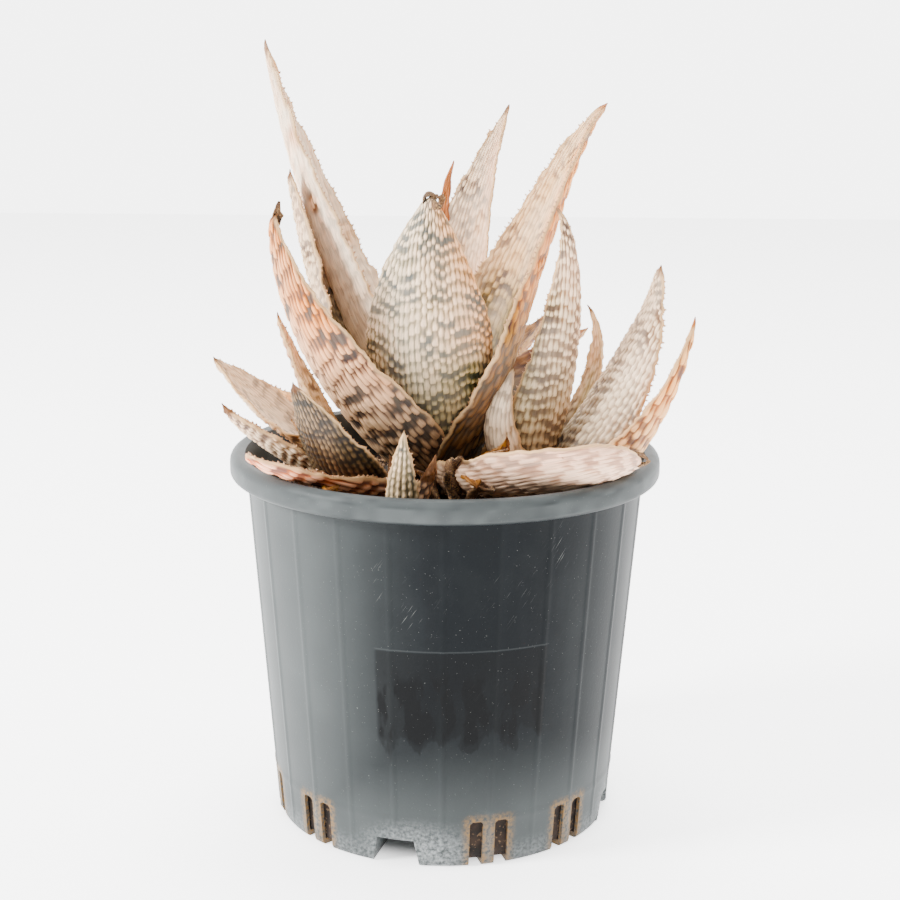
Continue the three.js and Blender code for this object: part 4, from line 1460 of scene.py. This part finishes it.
@dataclass(frozen=True)
class PottingSoil:
    """Dry peat and bark compost: dark brown, matt and crumbly, with paler bark and grit."""

    dark: str = "#2e2118"
    mid: str = "#5a4230"
    pale: str = "#94785a"
    rough: float = 0.95

    def material(self, name: str, shift: float) -> bpy.types.Material:
        """Builds the compost's node material.

        Args:
            name: the material's name.
            shift: how far the mix leans to its paler parts, from 0 to 1.

        Returns:
            The material.
        """
        compost, tree = new_material(name)
        place = object_place(tree)
        # Clods are 6 mm across, and grit is 1.5 mm
        clods, grit = add_noise(tree, place, 6.0, 5.0), add_noise(tree, place, 1.5, 1.0)
        body = remap(tree, clods, (0.35, 0.65 - 0.2 * shift))
        flecks = remap(tree, grit, (0.62 - 0.15 * shift, 0.72))
        colour = paint_layers(tree, linear(self.dark), [(body, self.mid), (flecks, self.pale)])
        finish_material(
            tree, {"Base Color": colour, "Roughness": self.rough, "Normal": add_bump(tree, clods, 0.8, 0.8)}
        )
        return compost


@dataclass
class Compost:
    """The soil that fills the pot, with loose crumbs on top."""

    level: float = 152.0
    floor: float = 2.9
    neck: float = 89.0
    foot: float = 77.2
    # Room round the pot's arches, within the thickness of their walls
    clear: float = 1.1
    sides: int = 150
    crumb_radius: float = 1.3
    crumbs_per_square_cm: float = 9.0
    # How far the smallest and the largest crumb are stretched along each axis
    crumb_sizes: tuple[tuple[float, float, float], ...] = ((0.35, 0.35, 0.3), (1.9, 1.0, 0.9))

    def relief(self, x: Array, y: Array) -> Array:
        """Height of the uneven top over the soil's level, which its solid shares."""
        return 1.6 * np.sin(x / 13 + 1) * np.cos(y / 11) + 0.9 * np.sin((x + y) / 7)

    def body(self) -> bpy.types.Object:
        """Builds the closed lump of soil."""
        radii = np.linspace(2, self.neck, 42)
        angle = np.arange(self.sides) * 2 * math.pi / self.sides
        x, y = radii[:, None] * np.cos(angle), radii[:, None] * np.sin(angle)
        rough = 1.6 * (drift(x / 4, y / 4, 31) - 0.5) + 1.0 * (drift(x / 1.7, y / 1.7, 32) - 0.5)
        top = np.stack([x, y, self.level + self.relief(x, y) + rough], axis=2)
        heights = np.linspace(self.level - 5, self.floor, 30)
        reach = self.foot + (self.neck - self.foot) * heights / self.level
        turn = np.tile(angle, (len(heights), 1))
        tall = np.repeat(heights[:, None], self.sides, axis=1)
        out = reach[:, None] - 0.9 * drift(turn * 40, tall / 3, 33)
        side = np.stack([out * np.cos(turn), out * np.sin(turn), tall], axis=2)
        rings = np.concatenate([top, side])
        rows = len(rings)
        middle = self.level + float(self.relief(np.zeros(1), np.zeros(1))[0])
        points = np.concatenate([rings.reshape(-1, 3), [[0, 0, middle], [0, 0, self.floor]]])
        quads = ring_quads(rows - 1, self.sides)[:, [0, 3, 2, 1]]
        caps = []
        for i in range(self.sides):
            j = (i + 1) % self.sides
            caps.append((rows * self.sides, i, j))
            caps.append((rows * self.sides + 1, (rows - 1) * self.sides + j, (rows - 1) * self.sides + i))
        return mesh_object("compost", points, quads, caps)

    def crumb_tree(self) -> bpy.types.NodeTree:
        """Builds the tree that strews crumbs of bark and grit over a surface."""
        tree, start = new_group(
            "soil_crumbs",
            [
                ("Density", "NodeSocketFloat"),
                ("Radius", "NodeSocketFloat"),
                ("Seed", "NodeSocketInt"),
                ("Material", "NodeSocketMaterial"),
            ],
        )
        spread = add_node(
            tree, "GeometryNodeDistributePointsOnFaces", None,
            {
                "Mesh": start.outputs["Geometry"],
                "Density": start.outputs["Density"],
                "Seed": start.outputs["Seed"],
            },
        )
        crumb = add_node(
            tree, "GeometryNodeMeshIcoSphere", None, {"Radius": start.outputs["Radius"], "Subdivisions": 1}
        )
        turn = add_node(
            tree, "FunctionNodeRandomValue", {"data_type": "FLOAT_VECTOR"},
            {0: (0.0, 0.0, 0.0), 1: (6.28, 6.28, 6.28), "Seed": start.outputs["Seed"]},
        )
        size = add_node(
            tree, "FunctionNodeRandomValue", {"data_type": "FLOAT_VECTOR"},
            {0: self.crumb_sizes[0], 1: self.crumb_sizes[1], "Seed": start.outputs["Seed"]},
        )
        crumbs = add_node(
            tree, "GeometryNodeInstanceOnPoints", None,
            {
                "Points": spread.outputs["Points"],
                "Instance": crumb.outputs["Mesh"],
                "Rotation": turn.outputs[0],
                "Scale": size.outputs[0],
            },
        )
        finish_group(tree, crumbs.outputs[0], start.outputs["Material"])
        return tree

    def crumbs(self) -> bpy.types.Object:
        """Strews the crumbs over the soil's top."""
        steps = 36
        line = np.linspace(-1, 1, steps) * (self.neck - 4)
        x, y = np.meshgrid(line, line)
        points = np.stack([x, y, self.level + self.relief(x, y) + 0.2], axis=2).reshape(-1, 3)
        first = (np.arange(steps - 1)[:, None] * steps + np.arange(steps - 1)[None, :]).ravel()
        quads = np.stack([first, first + 1, first + steps + 1, first + steps], axis=1)
        centre = points[quads].mean(axis=1)
        inside = np.hypot(centre[:, 0], centre[:, 1]) < self.neck - 6
        for crown in CROWNS.values():
            inside &= np.hypot(centre[:, 0] - crown.x, centre[:, 1] - crown.y) > crown.radius
        host = mesh_object("soil_top", points, quads[inside])
        values = {
            "Density": self.crumbs_per_square_cm * 1e4,
            "Radius": self.crumb_radius * MM,
            "Seed": 5,
            "Material": PottingSoil().material("bark_crumbs", 0.8),
        }
        return bake_nodes("soil_crumbs", host, self.crumb_tree(), values)

    def build(self) -> None:
        """Builds and dresses the soil and its crumbs."""
        body = self.body()
        pot = NurseryPot()
        arch = pot.channel_outline(self.clear, -1.0)
        cuts = [prism(arch, pot.channel_start - self.clear, pot.rim_radius, a) for a in pot.channel_angles]
        combine(body, cuts, "DIFFERENCE")
        body.data.materials.clear()
        # Painted shade: the body of the compost takes darker colours than the crumbs, for the shade inside
        # the pot
        body.data.materials.append(PottingSoil("#140d08", "#2f2117", "#5f4a34").material("dry_compost", 0.0))
        crumbs = self.crumbs()
        for piece in (body, crumbs):
            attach(piece, "root")
        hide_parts("soil")
        LOG.info("soil: %d faces, crumbs: %d faces", len(body.data.polygons), len(crumbs.data.polygons))


@dataclass(frozen=True)
class Curl:
    """A dry scrap of leaf: a ribbon that bends along its length and rolls up across it.

    Lengths are in millimetres and angles in degrees. heading and rise aim its first part.
    """

    start: tuple[float, float, float]
    heading: float
    rise: float
    length: float
    wide: float
    bend: float
    roll: float

    def grid(self, seed: int) -> tuple[Array, Array]:
        """Builds the scrap.

        Args:
            seed: picks its random draws.

        Returns:
            Its points and its faces of four corners.
        """
        rows, cols = 16, 7
        s = np.linspace(0, 1, rows + 1)
        yaw, rise = math.radians(self.heading), math.radians(self.rise)
        lean = rise + math.radians(self.bend) * s + 0.5 * (drift(s * 3, s * 0, seed) - 0.5)
        way = yaw + 1.2 * (drift(s * 2.2, s * 0 + 5, seed + 1) - 0.5)
        ahead = np.stack([np.cos(way) * np.cos(lean), np.sin(way) * np.cos(lean), np.sin(lean)], axis=1)
        spine = np.array(self.start) + np.cumsum(ahead, axis=0) * self.length / rows
        across = np.stack([-np.sin(way), np.cos(way), way * 0], axis=1)
        up = np.cross(ahead, across)
        v = np.concatenate([np.linspace(-1, 1, cols), np.linspace(1, -1, cols)])
        side = np.concatenate([np.zeros(cols), np.ones(cols)])
        gs, gv = np.repeat(s[:, None], 2 * cols, axis=1), np.repeat(v[None, :], rows + 1, axis=0)
        ragged = 0.7 + 0.6 * drift(gs * 7, np.sign(gv) * 2, seed + 2)
        shape = np.sin(np.pi * (0.22 + 0.74 * gs)) ** 0.8
        half = self.wide / 2 * shape * np.where(np.abs(gv) > 0.9, ragged, 1)
        angle = math.radians(self.roll) * (0.5 + 0.7 * gs)
        skin = 0.45 * side[None, :] + 0.9 * (drift(gs * 8, gv * 2.5, seed + 3) - 0.5) * shape
        radius = half / angle
        aside = (radius + skin) * np.sin(gv * angle)
        lift = radius - (radius + skin) * np.cos(gv * angle)
        place = spine[:, None] + across[:, None] * aside[:, :, None] + up[:, None] * lift[:, :, None]
        ring = 2 * cols
        quads = ring_quads(rows, ring)
        half_ring = np.arange(cols - 1)
        ends = []
        for base, flip in ((0, True), (rows * ring, False)):
            a, b = base + half_ring, base + half_ring + 1
            c, d = base + ring - 2 - half_ring, base + ring - 1 - half_ring
            ends.append(np.stack([a, d, c, b] if flip else [a, b, c, d], axis=1))
        return place.reshape(-1, 3), np.concatenate([quads] + ends)


@dataclass(frozen=True)
class DryTissue:
    """Dead leaf tissue: papery and fibrous, dull brown with straw-coloured ridges."""

    dark: str = "#3a2616"
    mid: str = "#6e4d30"
    pale: str = "#a5804f"

    def material(self) -> bpy.types.Material:
        """Builds the dead tissue's node material."""
        paper, tree = new_material("dry_leaf_tissue")
        place = object_place(tree)
        # Patches are 5 mm across, and fibres 0.8 mm
        patches, fibres = add_noise(tree, place, 5.0, 3.0), add_noise(tree, place, 0.8, 3.0)
        patch, fibre = remap(tree, patches, (0.38, 0.6)), remap(tree, fibres, (0.52, 0.68))
        colour = paint_layers(tree, linear(self.dark), [(patch, self.mid), (fibre, self.pale)])
        finish_material(
            tree, {"Base Color": colour, "Roughness": 0.8, "Normal": add_bump(tree, fibres, 0.4, 0.3)}
        )
        return paper


@dataclass
class Litter:
    """Dead leaf bases and scraps: at the crowns' feet, inside the rim and on withered tips."""

    rim_reach: float = 78.0
    rim_level: float = 156.5
    rim_scraps: int = 26
    # Withered ends of leaves, then the dead leaf bases before the main crown
    placed: tuple[Curl, ...] = (
        Curl((-9, -30, 289), 170, 45, 10, 5.0, 190, 90),
        Curl((-6, -29, 290), 70, 60, 10, 5.0, -170, 90),
        Curl((-5, -31, 286), -60, 20, 7, 4.5, 150, 90),
        Curl((-72, -52, 281), 100, 70, 11, 5.0, 60, 90),
        Curl((-71, -53, 276), -40, 60, 7, 4.0, 120, 90),
        Curl((80, -51, 181), 10, 20, 10, 7.0, -50, 70),
        Curl((81, -54, 178), -10, 5, 9, 5.0, 50, 70),
        Curl((4, -44, 160), -75, 72, 32, 9.0, -50, 80),
        Curl((11, -40, 164), -60, 75, 30, 8.0, -60, 80),
        Curl((-2, -52, 156), -110, 66, 28, 8.0, -45, 80),
        Curl((10, -52, 155), -70, 66, 27, 7.0, -60, 80),
        Curl((16, -46, 160), -40, 72, 26, 7.0, -50, 80),
        Curl((5, -54, 156), -95, 76, 26, 6.0, -40, 80),
        Curl((-6, -60, 153), -130, 50, 22, 9.0, -50, 60),
        Curl((4, -62, 152), -80, 45, 20, 10.0, -50, 50),
        Curl((-30, -56, 153), -110, 35, 20, 10.0, -50, 50),
        Curl((-60, -38, 158), 200, 30, 22, 10.0, -40, 50),
        Curl((32, -58, 152), -60, 25, 18, 9.0, -40, 50),
    )

    def build(self) -> None:
        """Builds and dresses the litter, in one mesh."""
        scraps = list(self.placed)
        for i in range(self.rim_scraps):
            draws = [float(chance(np.array(i), np.array(k), 71)) for k in range(6)]
            heading = 360 * (i + draws[0]) / self.rim_scraps
            reach = self.rim_reach - 16 * draws[1]
            x, y = reach * math.cos(math.radians(heading)), reach * math.sin(math.radians(heading))
            scraps.append(
                Curl((x, y, self.rim_level - 5 * draws[2]), heading + 90 + 180 * draws[3], 12 * draws[4],
                     10 + 10 * draws[5], 4 + 4 * draws[1], 20 - 40 * draws[2], 60 + 50 * draws[0])
            )
        points, quads, count = [], [], 0
        for number, scrap in enumerate(scraps):
            place, faces = scrap.grid(300 + 7 * number)
            points.append(place)
            quads.append(faces + count)
            count += len(place)
        litter = mesh_object("dry_scraps", np.concatenate(points), np.concatenate(quads))
        litter.data.materials.append(DryTissue().material())
        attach(litter, "root")
        LOG.info("litter: %d faces", len(litter.data.polygons))


@dataclass(frozen=True)
class StemBark:
    """Corky stem skin ringed with torn leaf bases: grey-brown, matt and fibrous."""

    dark: str = "#3d2c20"
    pale: str = "#8a6c50"

    def dress(self, frame: dict) -> None:
        """Gives every stem of the frame its bark.
        """
        bark, tree = new_material("corky_stem")
        # Leaf scars ring the stem 2 mm apart
        fibre = add_noise(tree, object_place(tree), (9.0, 9.0, 2.0), 4.0)
        colour = paint_layers(tree, linear(self.dark), [(fibre, self.pale)])
        finish_material(
            tree, {"Base Color": colour, "Roughness": 0.85, "Normal": add_bump(tree, fibre, 0.7, 0.6)}
        )
        for crown in CROWNS:
            stem = frame["nodes"][f"stem_{crown}"]
            stem.data.materials.clear()
            stem.data.materials.append(bark)


@dataclass
class Studio:
    """A pale sweep of floor, soft lights and the camera at the photograph's viewing angle."""

    eye: tuple[float, float, float] = (2.3, -774.2, 353.9)
    pitch: float = 13.19
    roll: float = 0.44
    lens: float = 67.94
    floor_size: float = 6.0
    # Radiance of the dark room before the plant and of the white sweep behind it
    room: float = 0.3
    backdrop: float = 5.6
    table: float = 2.9
    # The pot covers the table to the first of these distances, and the painted shadow round its foot ends at
    # the second
    painted_shadow_span: tuple[float, float] = (60.0, 88.0)

    def camera(self) -> None:
        """Sets the camera."""
        data = bpy.data.cameras.new("camera")
        data.lens = self.lens
        data.sensor_width = 36.0
        data.clip_start = 0.05
        view = bpy.data.objects.new("camera", data)
        look = Matrix.Rotation(math.radians(90 - self.pitch), 4, "X")
        spin = Matrix.Rotation(math.radians(self.roll), 4, "Z")
        view.matrix_world = Matrix.Translation(Vector(self.eye) * MM) @ look @ spin
        bpy.context.scene.collection.objects.link(view)
        bpy.context.scene.camera = view

    def floor(self) -> None:
        """Lays the pale table top, which is lit from below."""
        half = self.floor_size / 2 / MM
        points = np.array([[-half, -half, 0], [half, -half, 0], [half, half, 0], [-half, half, 0]])
        floor = mesh_object("floor", points, np.array([[0, 1, 2, 3]]))
        paper, tree = new_material("lit_white_acrylic")
        # Painted shadow: the table's light is dimmed under the pot and comes back round its foot
        away = add_node(tree, "ShaderNodeVectorMath", {"operation": "LENGTH"}, {0: object_place(tree)})
        near, far = self.painted_shadow_span
        glow_and_painted_shadow = remap(tree, away.outputs["Value"], (near * MM, far * MM), (0.02, self.table), smooth=True)
        finish_material(
            tree,
            {
                "Base Color": (0.92, 0.92, 0.92, 1.0),
                "Roughness": 0.9,
                "Emission Color": (1.0, 1.0, 1.0, 1.0),
                "Emission Strength": glow_and_painted_shadow,
            },
        )
        floor.data.materials.append(paper)

    def lights(self) -> None:
        """Hangs the soft boxes, with a bright sweep behind the plant and a dim room before it."""
        boxes = [
            ("key", (-2.1, -0.7, 1.3), 0.6, 165.0),
            ("front", (-0.4, -2.0, 2.2), 0.9, 32.0),
            ("top", (0.0, 0.4, 2.4), 1.0, 60.0),
            ("fill", (2.0, 0.2, 0.9), 0.9, 34.0),
        ]
        for name, place, size, power in boxes:
            lamp = bpy.data.lights.new(name, "AREA")
            lamp.size = size
            lamp.energy = power
            box = bpy.data.objects.new(name, lamp)
            aim = Vector((0, 0, 0.18)) - Vector(place)
            box.matrix_world = Matrix.Translation(place) @ aim.to_track_quat("-Z", "Y").to_matrix().to_4x4()
            bpy.context.scene.collection.objects.link(box)
        world = bpy.data.worlds.new("studio")
        world.use_nodes = True
        tree = world.node_tree
        place = add_node(tree, "ShaderNodeTexCoord")
        axes = add_node(tree, "ShaderNodeSeparateXYZ", None, {0: place.outputs["Generated"]})
        strength = remap(tree, axes.outputs["Y"], (-0.1, 0.95), (self.room, self.backdrop), smooth=True)
        tree.links.new(strength, tree.nodes["Background"].inputs["Strength"])
        tree.nodes["Background"].inputs["Color"].default_value = (1.0, 1.0, 1.0, 1.0)
        bpy.context.scene.world = world

    def build(self) -> None:
        """Builds the floor, the lights and the camera."""
        self.camera()
        self.floor()
        self.lights()


def main() -> None:
    """Loads the frame, builds every sub-assembly in order and logs face counts."""
    logging.basicConfig(level=logging.INFO, format="%(name)s: %(message)s")
    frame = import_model()
    Studio().build()
    NurseryPot().build()
    Compost().build()
    StemBark().dress(frame)
    Rosettes().build()
    Litter().build()
    LOG.info("sizes written")


if __name__ == "__main__":
    main()
